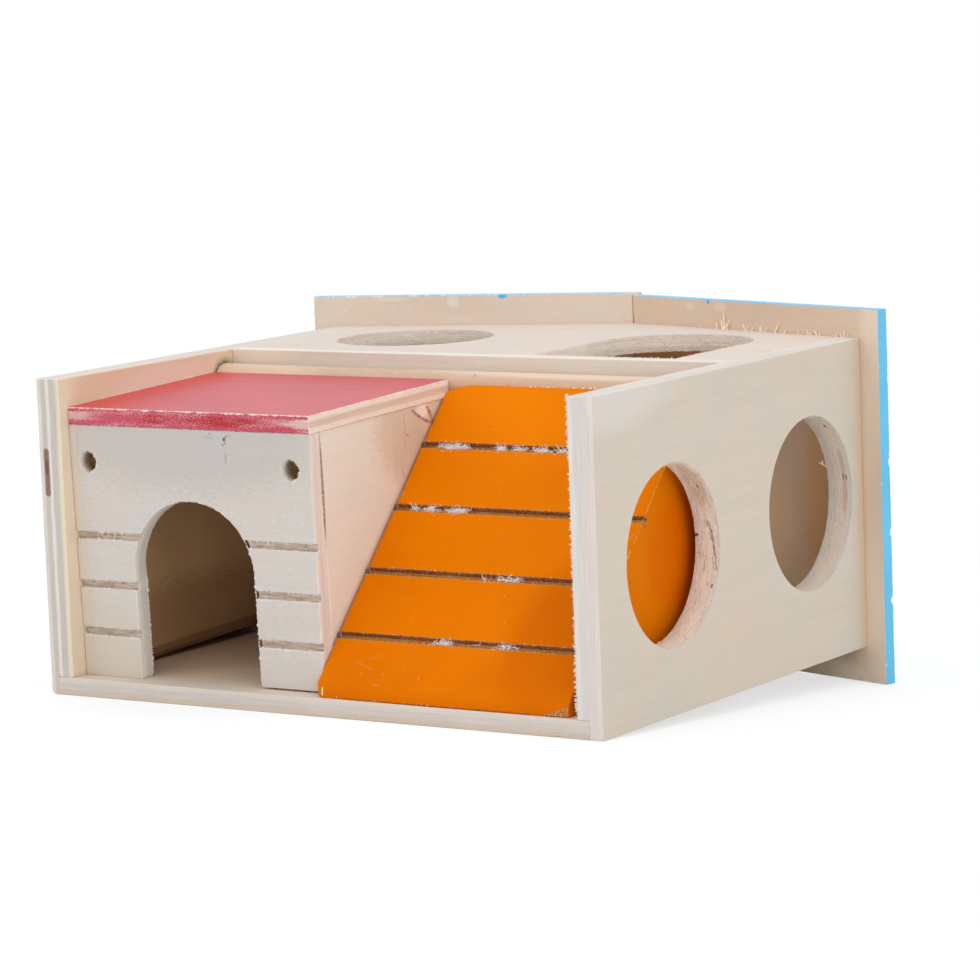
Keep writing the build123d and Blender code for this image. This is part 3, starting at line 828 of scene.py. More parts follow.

# %% [markdown]
# ## The roof's reds
#
# The front's red is pinker than the top's, with two fresh patches, and goes to wine red
# along the lower edge as painted shade. On top, beside the left wall, the red is fuller and
# more orange, as a painted reflection of the wall.
# The top's front corner is rubbed pale, but the lower one kept its paint.

# %% Roof
front = "#C24459"
for where, size in (((25.5, 0, 2.1), (3.6, 9, 1.1)), ((43.5, 0, 2.1), (9.5, 9, 1.2))):
    patch = away_from(tree, roof_wood.at, where, size)
    patch = add(tree, "Math", (speck, 1.4, patch), operation="MULTIPLY_ADD")
    patch = add(tree, "MapRange", (patch, 1.9, 1.5, 0.0, 1.0))
    front = add(tree, "Mix", {0: patch, A: front, B: "#B41C30"}, data_type="RGBA")
# Painted shade: wine red along the lower edge of the front.
below = add(tree, "Math", (speck, 0.8, up), operation="MULTIPLY_ADD")
below = add(tree, "MapRange", (below, 0.85, 0.55, 0.0, 0.8))
front = add(tree, "Mix", {0: below, A: front, B: "#8C2C46"}, data_type="RGBA")
reds = [add(tree, "Mix", {0: above, A: front, B: top}, data_type="RGBA") for top in ("#CF262B", "#B82048")]
# Painted reflection: beside the left wall the top turns to the fuller, more orange red.
thick = add(tree, "MapRange", (across, 17, 0, 0.0, -0.6), interpolation_type="SMOOTHSTEP")
underside = add(tree, "MapRange", (up, 1.2, 0.5, 0.0, 4.0))
red_paint = painted(roof_wood, cover, *reds, gloss=0.34, chips=(0.6, 1.3), shine=0.38, chipped="#F4CABF",
                    thinning_and_painted_light=thick, cloudy=0.5, kept=underside)
worn_board("red_roof", red_paint, ease=0.23, wander=0.7, nicks=0.8, seed=10, step=0.5)

# %% [markdown]
# ## The ramp's wood and its cuts
#
# The ramp is a solid wedge, painted first and sawn afterwards: the four footholds show
# brown raw wood. Paint has soaked into the cuts' floors and lower lips and turned them
# amber, with pale dust and dark burnt spots in it. A corner of the toe was knocked off and
# is bare.

# %% Ramp's wood
SLOPE, WIDE = 85.08, 66  # the ramp's length up the slope, and its width
FOOTHOLDS = [SLOPE * share for share in (0.164, 0.373, 0.583, 0.793)]  # mm up the slope
ramp_wood = wood("painted_pine_ramp", board_axes(RAMP, (0, 0, 0), BACK, (-1, 0, 0), UP), (),
                 "#C98450", "#95592E", figure=1.2)
tree = ramp_wood.tree
grit = noise_of(tree, ramp_wood.at, 0.42, Detail=3.0, Roughness=0.6)
amber = add(tree, "MapRange", (ramp_wood.pore, 0.3, 0.7))
amber = add(tree, "Mix", {0: amber, A: "#D69850", B: "#B87838"}, data_type="RGBA")
cuts = add(tree, "Mix", {0: ramp_wood.flat, A: ramp_wood.colour, B: amber}, data_type="RGBA")
dust = add(tree, "MapRange", (grit, 0.56, 0.68, 0.0, 0.55))
cuts = add(tree, "Mix", {0: dust, A: cuts, B: "#E2CDB8"}, data_type="RGBA")
burnt = add(tree, "MapRange", (grit, 0.45, 0.33, 0.0, 0.6))
ramp_wood.colour = add(tree, "Mix", {0: burnt, A: cuts, B: "#5E3212"}, data_type="RGBA")
print("footholds at", ", ".join(f"{middle:.1f}" for middle in FOOTHOLDS), "mm up the slope")

# %% [markdown]
# ## Where the ramp is orange
#
# Everywhere but in the cuts, on a ragged lip below and above each of them, and where the
# toe's corner is missing. The coat thins towards the toe, and at the lower right the paint
# is darkened as painted shade from the right wall. On these axes, along runs up the slope,
# and across from 0 at the left edge to -66 at the right.

# %% Ramp's cover
along, across, out = add(tree, "SeparateXYZ", (ramp_wood.at,)).outputs
ragged = noise_of(tree, ramp_wood.at, 0.7, Detail=4.0, Roughness=0.65)
ragged = add(tree, "Math", (ragged, 0.5), operation="SUBTRACT")
nearest = None
for middle in FOOTHOLDS:
    reach = add(tree, "Math", (along, middle - 0.03), operation="SUBTRACT")
    reach = add(tree, "Math", (reach,), operation="ABSOLUTE")
    nearest = reach if nearest is None else add(tree, "Math", (nearest, reach), operation="MINIMUM")
lip = add(tree, "Math", (ragged, 0.9, nearest), operation="MULTIPLY_ADD")
raw = add(tree, "MapRange", (lip, 1.12, 1.02))
shallow = add(tree, "MapRange", (out, -1.62, -1.56))
raw = add(tree, "Math", (raw, shallow), operation="MULTIPLY")
rise = add(tree, "Math", (across, 0.28, 0.28 * WIDE + 0.04), operation="MULTIPLY_ADD")
knocked = add(tree, "Math", (along, rise), operation="ADD")
knocked = add(tree, "Math", (ragged, 0.5, knocked), operation="MULTIPLY_ADD")
knocked = add(tree, "MapRange", (knocked, -0.05, 0.05, 1.0, 0.0))
ahead = add(tree, "MapRange", (ramp_wood.facing.outputs[1], -0.9, -0.6))
knocked = add(tree, "Math", (knocked, ahead), operation="MULTIPLY")
raw = add(tree, "Math", (raw, knocked), operation="MAXIMUM")
cover = add(tree, "Math", (1.0, raw), operation="SUBTRACT")
lower = add(tree, "MapRange", (along, 80, 0, -0.4, 0.1))
# Painted shade at the lower right, where the right wall shades the ramp.
patch = away_from(tree, ramp_wood.at, (17, -58, 0), (24, 17, math.inf))
patch = add(tree, "MapRange", (patch, 0.3, 1.1, 0.75, 0.0), interpolation_type="SMOOTHSTEP")
lower = add(tree, "Math", (lower, patch), operation="ADD")
print(f"ramp: {len(tree.nodes)} nodes before its paint")

# %% [markdown]
# ## The ramp's rounded and trimmed corners
#
# The wedge was rubbed round along its toe and at the upright edges on its left. The left
# end of its head sits lower, where it was trimmed to fit under the roof, and the toe's
# lower left corner is rounded off. A painted highlight runs down that corner, and the right
# side, which faces the wall, gets painted shade, redder near the front hole. A few scratches
# in the paint are so faint that they read as wear, not as lines.

# %% Ramp
def at_corner(y):
    """Picks the ramp's upright left edge at a depth in the house."""
    return lambda point: (HOUSE.inverted() @ point - Vector((RAMP_LEFT, y, 35))).xy.length < 0.3


def at_nose(point):
    """Picks the ramp's toe and the short upright edge at its left end."""
    return (RAMP.inverted() @ point).yz.length < 0.3 or at_corner(TOE[0])(point)


def trimmed(point):
    """How far the toe's corner is rounded and the head's left end lowered."""
    corner = (HOUSE.inverted() @ point - Vector((RAMP_LEFT, TOE[0], SHEET))).length
    if corner < 1.8:
        return 4.0 * (1 - corner / 1.8)
    x, y, z = RAMP.inverted() @ point
    if z < -0.2 or y < 82.5 or x > 6.6:
        return 0.0
    return 9.0 * min(1.0, (6.6 - x) / 5.6) ** 1.3 * min(1.0, (y - 82.5) / 2.4)


scuffs_and_painted_light = [
    (((-1.37, -1.6, -1.32), (-0.2, -1.6, -0.2)), (0.2, 0.22, 0.4), "#FFE6C4", 0.9),  # painted highlight down the toe's rounded corner
    ((45, -WIDE, -12), (44, 3, 34), "#DC7600", 0.7),  # painted shade on the right side, in the gap to the wall, redder near the front hole
    ((52.7, -WIDE, -16.9), (16, 3, 16), "#DE5800", 0.45),
]
SCRATCHES = (((8.4, 6.9), (13.1, 5.3), 0.16), ((11.0, 8.1), (13.4, 9.2), 0.13),
             ((10.5, 4.4), (10.7, 3.4), 0.16), ((14.5, 1.4), (16.2, 1.4), 0.18),
             ((15.9, 4.5), (16.4, 4.2), 0.2), ((20.3, 7.7), (21.6, 6.0), 0.07),
             ((59.5, 36.0), (65.0, 45.5), 0.25), ((30.0, 12.2), (33.0, 12.0), 0.08))
for (x, y), (last_x, last_y), strength in SCRATCHES:  # (right, up the slope)
    scuffs_and_painted_light.append((((y, -x, 0), (last_y, -last_x, 0)), (0.3, 0.3, 0.6), "#FFC890", 0.42 * strength))
orange_paint = painted(ramp_wood, cover, "#ED8000", "#D46900", gloss=0.4, film=0.02, shine=0.02,
                       chips=(1.5, 1.8), chipped="#F0B468", thinning_and_painted_light=lower, cloudy=0.3, scuffs_and_painted_light=scuffs_and_painted_light)
worn_board("ramp", orange_paint, wander=0.6, nicks=0.9, seed=11, step=0.6,
           dub=trimmed, rounds=((at_nose, 1.2), (at_corner(HEAD[0]), 1.4)))

# %% [markdown]
# ## Blue back panels
#
# The panels are 3 mm ply, sky blue on the outside and round their edges. The inner faces
# stayed bare, except for runs of paint that crept over the top edge and dabs of pale
# filler. Inside the house the bare faces carry painted warm light, and the right one more
# painted light where the right wall shades it. Close to the seam between the two, their
# edges stayed unpainted, with painted shade in the gap. Small flakes are missing from the
# right one's sawn end.

# %% Back panels' marks
RUN, FILLER = "#5BBDEF", "#E9DDD2"
panel_plies = [(0.9, GREY, PINK), (1.2, PALE, GREY), (0.9, GREY, PINK)]
right_spots = [
    ((27, 52, 0), (30, 34, 1), "#FFD8AC", 0.95),  # painted warm light inside the house, low and in the middle
    ((68, 46, 0), (13, 30, 1), "#DCA468", 0.65),
    # painted light at the foot and the right end, where the right wall shades the panel, and painted warm
    # light under the deck
    ((82, 84, 0), (10, 30, 1), "#F0DCC0", 0.55),
    ((62, 89.5, 0), (18, 6.5, 1), "#FFF4DC", 0.9),
    ((14, 15, 0), (18, 7, 1), "#FFC594", 0.9),
    ((83, 45, 0), (6, 90, 1), "#EADBCB", 0.6),
    ((0.0, 45, 0), (0.5, 90, 1), "#5A4130", 0.95),  # painted shade in the gap at the ridge
    ((27.3, 0.4, 0), (0.75, 0.95, 1), RUN, 1.0),
    ((47.0, 0.0, 0), (0.6, 0.4, 1), RUN, 0.8),
    ((20.8, 1.9, 0), (2.0, 1.2, 1), FILLER, 0.4),
    ((31.5, 1.6, 0), (2.6, 1.6, 1), FILLER, 0.4),
]
left_spots = [
    ((-33, 52, 0), (30, 34, 1), "#D6A478", 0.6),  # painted warm light inside the house
    ((-6, 15, 0), (14, 7, 1), "#FFC594", 0.9),
    ((-33.9, 0.3, 0), (1.5, 0.9, 1), "#4FB9F2", 1.0),  # run of paint
    ((-47.0, 1.6, 0), (1.8, 2.0, 1), "#EDE6E0", 0.6),  # filler
    ((-63.0, 0.9, 0), (5.5, 0.7, 1), "#EDE2D6", 0.4),
]
print(f"back panels: {len(right_spots)} and {len(left_spots)} marks")

# %% Back panels
FLAKES = ((53.5, 0.7), (36.4, 0.9), (20.1, 0.9))  # (height, half its length)


def flaked_end(point):
    """Three flakes are missing from the right panel's sawn end."""
    x, y, z = RIGHT_PANEL.inverted() @ point
    if x < 83 or y < 2.5:
        return 0.0
    return max(2.6 * min(1.0, max(0.0, 2.5 - 2.5 * abs(z - at) / size)) for at, size in FLAKES)


for node, where, top, spots, tones, blues, chips, seed in (
        ("right_back_panel", RIGHT_PANEL, 89.6, right_spots, ("#DDC6B0", "#D4B9A0"),
         ("#66C6EE", "#5AB9E5"), (1.5, 2.0), 12),
        ("left_back_panel", LEFT_PANEL, 90.2, left_spots, ("#E2D3C4", "#D9C4B0"),
         ("#8CCDEE", "#74C2EA"), (1.1, 1.5), 13)):
    panel_wood = wood(f"painted_poplar_plywood_{node}", board_axes(where, (0, 0, top), RIGHT, DOWN, BACK),
                      panel_plies, *tones, marks=spots, figure=0.8)
    tree = panel_wood.tree
    through = panel_wood.facing.outputs[2]
    cover = add(tree, "MapRange", (through, -0.9, -0.72))
    outer = add(tree, "MapRange", (through, 0.6, 0.9))
    ridge = add(tree, "Math", (add(tree, "SeparateXYZ", (panel_wood.at,)),), operation="ABSOLUTE")
    ridge = add(tree, "Math", (panel_wood.pore, 2.0, ridge), operation="MULTIPLY_ADD")
    ridge = add(tree, "MapRange", (ridge, 1.6, 3.6))
    ridge = add(tree, "Math", (ridge, outer), operation="MAXIMUM")
    cover = add(tree, "Math", (cover, ridge), operation="MULTIPLY")
    coats = [add(tree, "Mix", {0: outer, A: edge, B: broad}, data_type="RGBA")
             for edge, broad in zip(blues, ("#62C0E8", "#56B3DF"))]
    blue_paint = painted(panel_wood, cover, *coats, gloss=0.42, chips=chips, chipped="#DCE6EA", cloudy=0.8)
    worn_board(node, blue_paint, ease=0.2, wander=0.9, step=0.5, seed=seed,
               flaked=flaked_end)

# %% [markdown]
# ## Fibres, fluff and splinters
#
# Dull saws tear wood. The right wall's front edge is hairy, the ramp's footholds are full
# of white fluff, and the deck's back edge has splinters that stand up against the blue
# panel. These could be a particle system, but hair does not leave Blender as a mesh. So
# each fibre is a thin tapering thread of its own, three-sided, and all threads of a kind
# make one mesh. Real fibres are 0.03 mm thick. These are two to four times that, which is
# as fine as a render can show.

# %% Threads as one mesh
def threads(name, material, lines, sides=3):
    """One mesh of threads. Each line is a list of (point, radius), all in metres."""
    verts, faces = [], []
    for line in lines:
        upright = abs((line[-1][0] - line[0][0]).normalized().z) >= 0.6
        lean = Vector((0.8, 0.6, 0.02) if upright else (0.31, 0.52, 0.79))  # never along the thread
        first = len(verts)
        for number, (point, radius) in enumerate(line):
            way = line[min(number + 1, len(line) - 1)][0] - line[max(number - 1, 0)][0]
            side = way.cross(lean).normalized()
            up = way.cross(side).normalized()
            for corner in range(sides):
                turn = 2 * math.pi * corner / sides
                verts.append(point + radius * (math.cos(turn) * side + math.sin(turn) * up))
        for ring in range(len(line) - 1):
            a, b = first + ring * sides, first + (ring + 1) * sides
            faces += [(a + c, a + (c + 1) % sides, b + (c + 1) % sides, b + c) for c in range(sides)]
        faces.append(tuple(range(first, first + sides))[::-1])
        faces.append(tuple(range(len(verts) - sides, len(verts))))
    mesh = bpy.data.meshes.new(name)
    mesh.from_pydata([tuple(v) for v in verts], [], faces)
    mesh.validate()
    house_piece(name, mesh, material)
    print(f"{name}: {len(lines)} threads, {len(faces)} faces")


# %% [markdown]
# ## How a fibre grows
#
# A fibre starts at a point, sets off one way and wanders as it goes. A tuft is several
# that start along an edge and meet near one tip, as torn wood does. A fringe is short ones
# all along a rim. Everything random is drawn from a seeded source, so the house comes out
# the same every time.

# %% Fibres, tufts and fringes
def jolt(rng):
    """A random step, up to 1 each way."""
    return Vector([rng.uniform(-1, 1) for _ in range(3)])


def curl(rng, axes, start, way, length, thick, bend=0.6, parts=5, taper=0.75):
    """A wandering, tapering line in a board's millimetres, given back in metres."""
    point, way = Vector(start), Vector(way).normalized()
    line = []
    for number in range(parts + 1):
        line.append((axes @ point, thick * MM * (1 - taper * number / parts)))
        way = (way + bend * jolt(rng)).normalized()
        point = point + way * length / parts
    return line


def tooth(rng, axes, root, edge, tip, count, spread, thick):
    """A pointed tuft: threads that start along an edge and meet near one tip."""
    made = []
    for _ in range(count):
        start = Vector(root) + rng.uniform(-spread, spread) * Vector(edge)
        way = Vector(tip) - start + 0.15 * jolt(rng)
        made.append(curl(rng, axes, start, way, way.length, thick * rng.uniform(0.8, 1.2),
                         bend=0.12, parts=3))
    return made


def fringe(rng, axes, rim, count, long, thick, spread=0.6):
    """Short fibres rooted just inside a rim. rim takes a share of its length, from 0 to 1, and gives back a
    point and the way that the fibres lean."""
    made = []
    for _ in range(count):
        point, way = rim(rng.random())
        way = Vector(way) + spread * jolt(rng)
        root = Vector(point) - 0.08 * way.normalized()
        made.append(curl(rng, axes, root, way, long * rng.uniform(0.4, 1.0), thick * rng.uniform(0.7, 1.2),
                         bend=0.3, parts=3))
    return made


# %% [markdown]
# ## Torn wood fibre
#
# A torn fibre is bare cellulose with no finish, so it is nearly white and quite matt. It
# takes a little of its tone from a noise, so that no two neighbours match.

# %% Fibre finish
def torn_fibre(name, pale, warm):
    """The material of a mesh of threads."""
    material, tree = blank_material(name)
    tone = noise_of(tree, add(tree, "TexCoord").outputs["Object"], 1.2 * MM, Detail=2.0)
    tone = add(tree, "MapRange", (tone, 0.35, 0.65))
    tone = add(tree, "Mix", {0: tone, A: pale, B: warm}, data_type="RGBA")
    skin = add(tree, "BsdfPrincipled", {"Base Color": tone, "Roughness": 0.9, "IOR": 1.5,
                                        "Sheen Weight": 0.6, "Sheen Roughness": 0.5})
    add(tree, "OutputMaterial", {"Surface": skin})
    return material


white_fibre = torn_fibre("torn_poplar_fibre", "#FBF5F0", "#F0E6E0")
fluff_fibre = torn_fibre("packed_wood_fluff", "#FFFEFC", "#FBF1F0")
warm_fibre = torn_fibre("torn_poplar_splinter", "#FFF2DE", "#F6E0C2")
amber_fibre = torn_fibre("broken_paint_edge", "#FFD9A0", "#F3B878")
print("fibres: white, fluff, warm and amber")

# %% [markdown]
# ## Fuzz on the right wall's front edge
#
# The saw came out on the inside of the wall and left fibres hanging over the ramp. They
# grow thicker towards the bottom, where the cut ended. There is a nap of short hairs with
# gaps in it, then pointed tufts, and a few curls where a bundle came away whole.

# %% Wall fuzz
rng = random.Random(11)
lines = []
for _ in range(1400):
    high = rng.uniform(4.0, 74.5)
    if noise.noise((high * 0.9, 3, 0)) < (-0.35 if high < 36 or high > 60 else 0.0):
        continue
    long = rng.uniform(0.2, 0.7) * (1.6 if rng.random() < 0.1 else 1.0)
    start = (143.78, rng.uniform(0.3, 0.6), high)
    way = (-1, rng.uniform(-0.3, 0.1), rng.uniform(-0.7, 0.5))
    lines.append(curl(rng, HOUSE, start, way, long, rng.uniform(0.06, 0.11), bend=0.3, parts=3))
for _ in range(44):
    high = rng.triangular(5.0, 74.0, 6.0)
    long = rng.uniform(0.35, 0.6) + 0.25 * (high < 20)
    tip = (143.7 - long, 0.3, high + rng.uniform(-0.5, 0.5))
    lines += tooth(rng, HOUSE, (143.8, 0.35, high), UP, tip, 7, rng.uniform(0.3, 0.55), 0.1)
for high, count in ((25.5, 7), (20.5, 8), (18.0, 6), (11.5, 7), (7.0, 5), (33.5, 5)):
    for _ in range(count):
        start = (143.75, rng.uniform(0.6, 1.1), high + rng.uniform(-0.8, 0.8))
        way = (-1, 0.3, rng.uniform(-0.7, 0.7))
        lines.append(curl(rng, HOUSE, start, way, rng.uniform(0.8, 1.6), 0.08, bend=0.8, parts=7))
for _ in range(16):
    high = rng.uniform(60, 74)
    tip = (143.25, 0.3, high + rng.uniform(-0.5, 0.5))
    lines += tooth(rng, HOUSE, (143.8, 0.35, high), UP, tip, 6, rng.uniform(0.3, 0.5), 0.1)
threads("right_wall_fuzz", white_fibre, lines)

# %% [markdown]
# ## Fluff in the footholds
#
# Sawdust and torn fibre packed into the ramp's cuts. Each tuft has a place across the
# ramp and a density, and its threads start on the cut's floor and wander out. Short hairs
# stand all along the lips. Crumbs lie on the joint with the rail, under the toe, and here
# and there on the slope.

# %% Foothold fluff
rng = random.Random(5)
lines = []
TUFTS = ((3, 4.0, 13.5, 290), (3, 20.4, 22.8, 100), (3, 24.0, 29.0, 90), (3, 30.0, 35.5, 150),
         (3, 36.2, 39.6, 75), (2, 4.6, 6.6, 40), (2, 7.6, 12.2, 125), (2, 13.4, 20.8, 190),
         (1, 34.4, 41.8, 125), (1, 30.0, 34.0, 16), (0, 24.4, 31.0, 105), (0, 41.2, 47.6, 85),
         (0, 36.0, 38.0, 6))  # (cut, left, right, density)
for cut, left, right, count in TUFTS:
    for _ in range(int(0.72 * count)):
        across = rng.triangular(left, right)
        start = (across, FOOTHOLDS[cut] + rng.triangular(-0.95, 0.6), rng.uniform(-0.7, 0.2))
        way = (rng.uniform(-1, 1), rng.uniform(-0.4, 0.25), rng.uniform(-0.25, 0.15))
        lines.append(curl(rng, RAMP, start, way, rng.uniform(0.8, 2.2), rng.uniform(0.045, 0.08),
                          bend=0.8, parts=7))
for middle in FOOTHOLDS:
    for _ in range(60):
        across = rng.uniform(1.0, 65.0)
        side = -1 if rng.random() < 0.6 else 1  # the cut's lower lip has more hairs than its upper one
        start = (across, middle + 0.86 * side, rng.uniform(-0.5, -0.02))
        way = (rng.uniform(-1, 1), 0.3 * side, 0.7)
        lines.append(curl(rng, RAMP, start, way, rng.uniform(0.25, 0.6), 0.06, parts=2))
print(f"footholds: {len(lines)} threads")

# %% Crumbs on the ramp
for _ in range(46):  # along the joint with the rail
    start = (rng.triangular(13, 67, 50), 85.0, rng.uniform(0.0, 0.35))
    way = (rng.uniform(-1, 1), -0.6, rng.uniform(0, 0.6))
    lines.append(curl(rng, RAMP, start, way, rng.uniform(0.2, 0.6), rng.uniform(0.1, 0.18),
                      bend=0.3, parts=2))
for _ in range(26):  # along the toe's lower edge
    start = (rng.uniform(78, 139), 1.1, rng.uniform(4.3, 4.7))
    lines.append(curl(rng, HOUSE, start, (1, 0, 0.4), rng.uniform(0.1, 0.4), rng.uniform(0.05, 0.11),
                      parts=2))
for _ in range(26):  # on the slope
    start = (rng.uniform(4, 64), rng.uniform(2, 80), 0.02)
    lines.append(curl(rng, RAMP, start, (1, 0.6, 0), rng.uniform(0.1, 0.3), 0.07, parts=2))
threads("foothold_fluff", fluff_fibre, lines)

# %% [markdown]
# ## The ramp's broken paint edge
#
# The ramp was cut to width after it was painted, and the paint broke away in a fine pale
# line along its right edge. Threads laid end to end draw it, each with its own tilt.

# %% Paint edge
lines = []
for _ in range(130):
    start = (65.9, rng.uniform(38, 84), -0.06)
    lines.append(curl(rng, RAMP, start, (0.05, 1, 0), rng.uniform(0.2, 0.6), 0.055, bend=0.1, parts=2))
threads("ramp_edge_fibres", amber_fibre, lines)

# %% [markdown]
# ## Splinters behind the deck
#
# The deck's back edge broke out when it was sawn, and stiff splinters stand up along the
# right panel. The tallest is nearly 5 mm high, and most of the tall ones are split at the
# tip. Thin hairs fill the gaps between them.

# %% Deck splinters
rng = random.Random(3)
lines = []
STANDING = ((30.6, 1.6, 0.25), (33.0, 4.0, -0.05), (33.3, 3.0, 0.45), (32.8, 2.4, -0.15), (34.3, 1.3, 0.1),
            (40.4, 1.8, -0.1), (40.8, 1.3, 0.3), (42.5, 1.1, 0.05), (45.4, 1.5, -0.1), (46.1, 0.6, 0.3),
            (47.4, 1.5, 0.5), (50.5, 2.7, 0.15), (53.6, 1.3, 0.45), (58.2, 1.3, 0.5), (61.3, 0.8, 0.3),
            (62.0, 1.5, 0.15), (62.8, 0.9, -0.3), (64.7, 1.4, -0.35), (65.4, 0.7, 0.1), (71.0, 0.6, 0.0),
            (72.9, 0.9, -0.2), (73.5, 1.4, 0.15), (74.2, 1.0, 0.3), (24.5, 0.7, 0.2))  # (along, tall, lean)
for along, tall, lean in STANDING:
    start = (along, -0.4 + rng.uniform(-0.12, 0.08), 82.4)
    way = (lean, rng.uniform(-0.2, 0.0), 1.0)
    lines.append(curl(rng, RIGHT_PANEL, start, way, tall + 0.2, 0.17 + 0.035 * tall, bend=0.2, taper=0.45))
    if tall > 1.4:
        tip = RIGHT_PANEL.inverted() @ lines[-1][3][0]
        lines.append(curl(rng, RIGHT_PANEL, tip, (lean - 0.6, -0.1, 0.8), 0.4, 0.13, bend=0.2, parts=2))
for _ in range(90):
    start = (rng.uniform(6, 78), -0.2, 82.5)
    way = (rng.uniform(-1, 1), rng.uniform(-0.5, 0), 0.8)
    lines.append(curl(rng, RIGHT_PANEL, start, way, rng.uniform(0.3, 0.7), 0.07, parts=3))
threads("deck_splinters", warm_fibre, lines, sides=4)

# %% [markdown]
# ## Frayed rims in the room and the deck
#
# Every opening was cut from the face with a saw or a router, and the cut's far side tore
# out. Short fibres stand in the arch, in the facade's kerfs, round the peepholes, and
# under the deck's two entrances. A rim is a straight line or a part of a circle.

# %% Rims
def straight(start, end, way):
    """A straight rim."""
    return lambda share: (Vector(start).lerp(Vector(end), share), way)


def ring(middle, level, radius, first, last, way_up=0.0):
    """A part of a level circle, between two angles."""
    def rim(share):
        turn = math.radians(first + (last - first) * share)
        c, s = math.cos(turn), math.sin(turn)
        return (middle[0] + radius * c, middle[1] + radius * s, level), (-c, -s, way_up)
    return rim


def hoop(middle, depth, radius, first, last):
    """A part of an upright circle, between two angles."""
    def rim(share):
        (x, y, z), (to_x, to_y, _) = ring(middle, 0, radius, first, last)(share)
        return (x, depth, y), (to_x, 0, to_y)
    return rim


ARCH, ARCH_RADIUS = (39.9, 25.4), 17  # the door's middle, (right, up), and its half width
FRONT, BEHIND = 0.1, 4.15  # the facade's front edge and its back edge, just inside the sheet
fringes = (
    (straight((22.9, BEHIND, 0.5), (22.9, BEHIND, 25.4), RIGHT), 200, 0.5, 0.1),  # the arch's left side
    (hoop(ARCH, BEHIND, ARCH_RADIUS, 60, 180), 170, 0.35, 0.09),
    (hoop(ARCH, FRONT, ARCH_RADIUS, 0, 110), 240, 0.4, 0.1),
    (straight((56.9, FRONT, 0.8), (56.9, FRONT, 25.4), (-1, 0, 0)), 200, 0.42, 0.1),  # its right side
)
rng = random.Random(21)
lines = []
for rim, count, long, thick in fringes:
    lines += fringe(rng, ROOM, rim, count, long, thick)
for height in (20.0, 21.2, 22.6, 33.0, 12.0, 4.0):
    lines += tooth(rng, ROOM, (23.0, 4.1, height), UP, (23.5, 4.0, height + 0.2), 5, 0.4, 0.09)
for height in (31.0, 23.4, 14.6, 7.0):
    reach = ARCH[0] + math.sqrt(ARCH_RADIUS**2 - max(height - ARCH[1], 0) ** 2)
    lines += tooth(rng, ROOM, (reach, FRONT, height), UP, (reach - 0.4, 0.0, height + 0.2), 5, 0.35, 0.09)
print(f"the arch: {len(lines)} threads")

# %% Kerfs, edges and the deck's slot
for height, _ in reversed(KERFS):
    extra = 2 * (height > 30)  # the arch is narrower there, so the top kerfs run further
    for left, right in ((6.7, 22.6 + extra), (57.2 - extra, 74.0)):
        for edge, way in ((0.93, -1), (-0.93, 1)):
            rim = straight((left, FRONT, height + edge), (right, FRONT, height + edge), (0, -0.1, way))
            lines += fringe(rng, ROOM, rim, 44, 0.6, 0.075, spread=0.9)
for across, long in ((13.4, 1.5), (14.0, 1.1), (15.6, 1.4), (16.2, 1.0), (17.4, 1.3), (19.8, 0.8),
                     (60.8, 1.0), (66.0, 0.9)):
    over = straight((across, 0.05, 34.1), (across + 0.3, 0.05, 34.1), (0.5, -0.1, -1))
    under = straight((across - 0.7, 0.05, 32.3), (across, 0.05, 32.3), (-0.4, -0.1, 1))
    lines += fringe(rng, ROOM, over, 3, long, 0.1)
    lines += fringe(rng, ROOM, under, 2, long, 0.09)
lines += fringe(rng, ROOM, straight((6.5, 0.05, 1), (6.5, 0.05, 58), (-1, -0.3, 0)), 200, 0.35, 0.08)
lines += fringe(rng, ROOM, straight((74.15, 4.1, 40), (74.15, 4.1, 57), (1, -0.2, 0)), 40, 0.4, 0.1)
lines += fringe(rng, HOUSE, ring(DECK_SLOT, 69.85, 19.4, 5, 172, way_up=-0.5), 190, 0.45, 0.11)
for across, long in ((122.2, 0.25), (124.0, 0.1), (112.0, 0.1), (104.0, 0.12), (96.5, 0.15), (127.6, 0.25)):
    lines += tooth(rng, HOUSE, (across, 72.3, 73.9), RIGHT, (across + 0.2, 72.5, 74.0 + long), 5, 0.3, 0.08)
threads("room_fibres", white_fibre, lines)

# %% [markdown]
# ## Frayed rims of the round holes
#
# Warmer fibres stand round the peepholes, the deck's entrances and the two round side
# entrances. Those are frayed at both faces of the wall, and stubs stand on their lower
# halves. In the rear one, a forked splinter hangs on by its root.

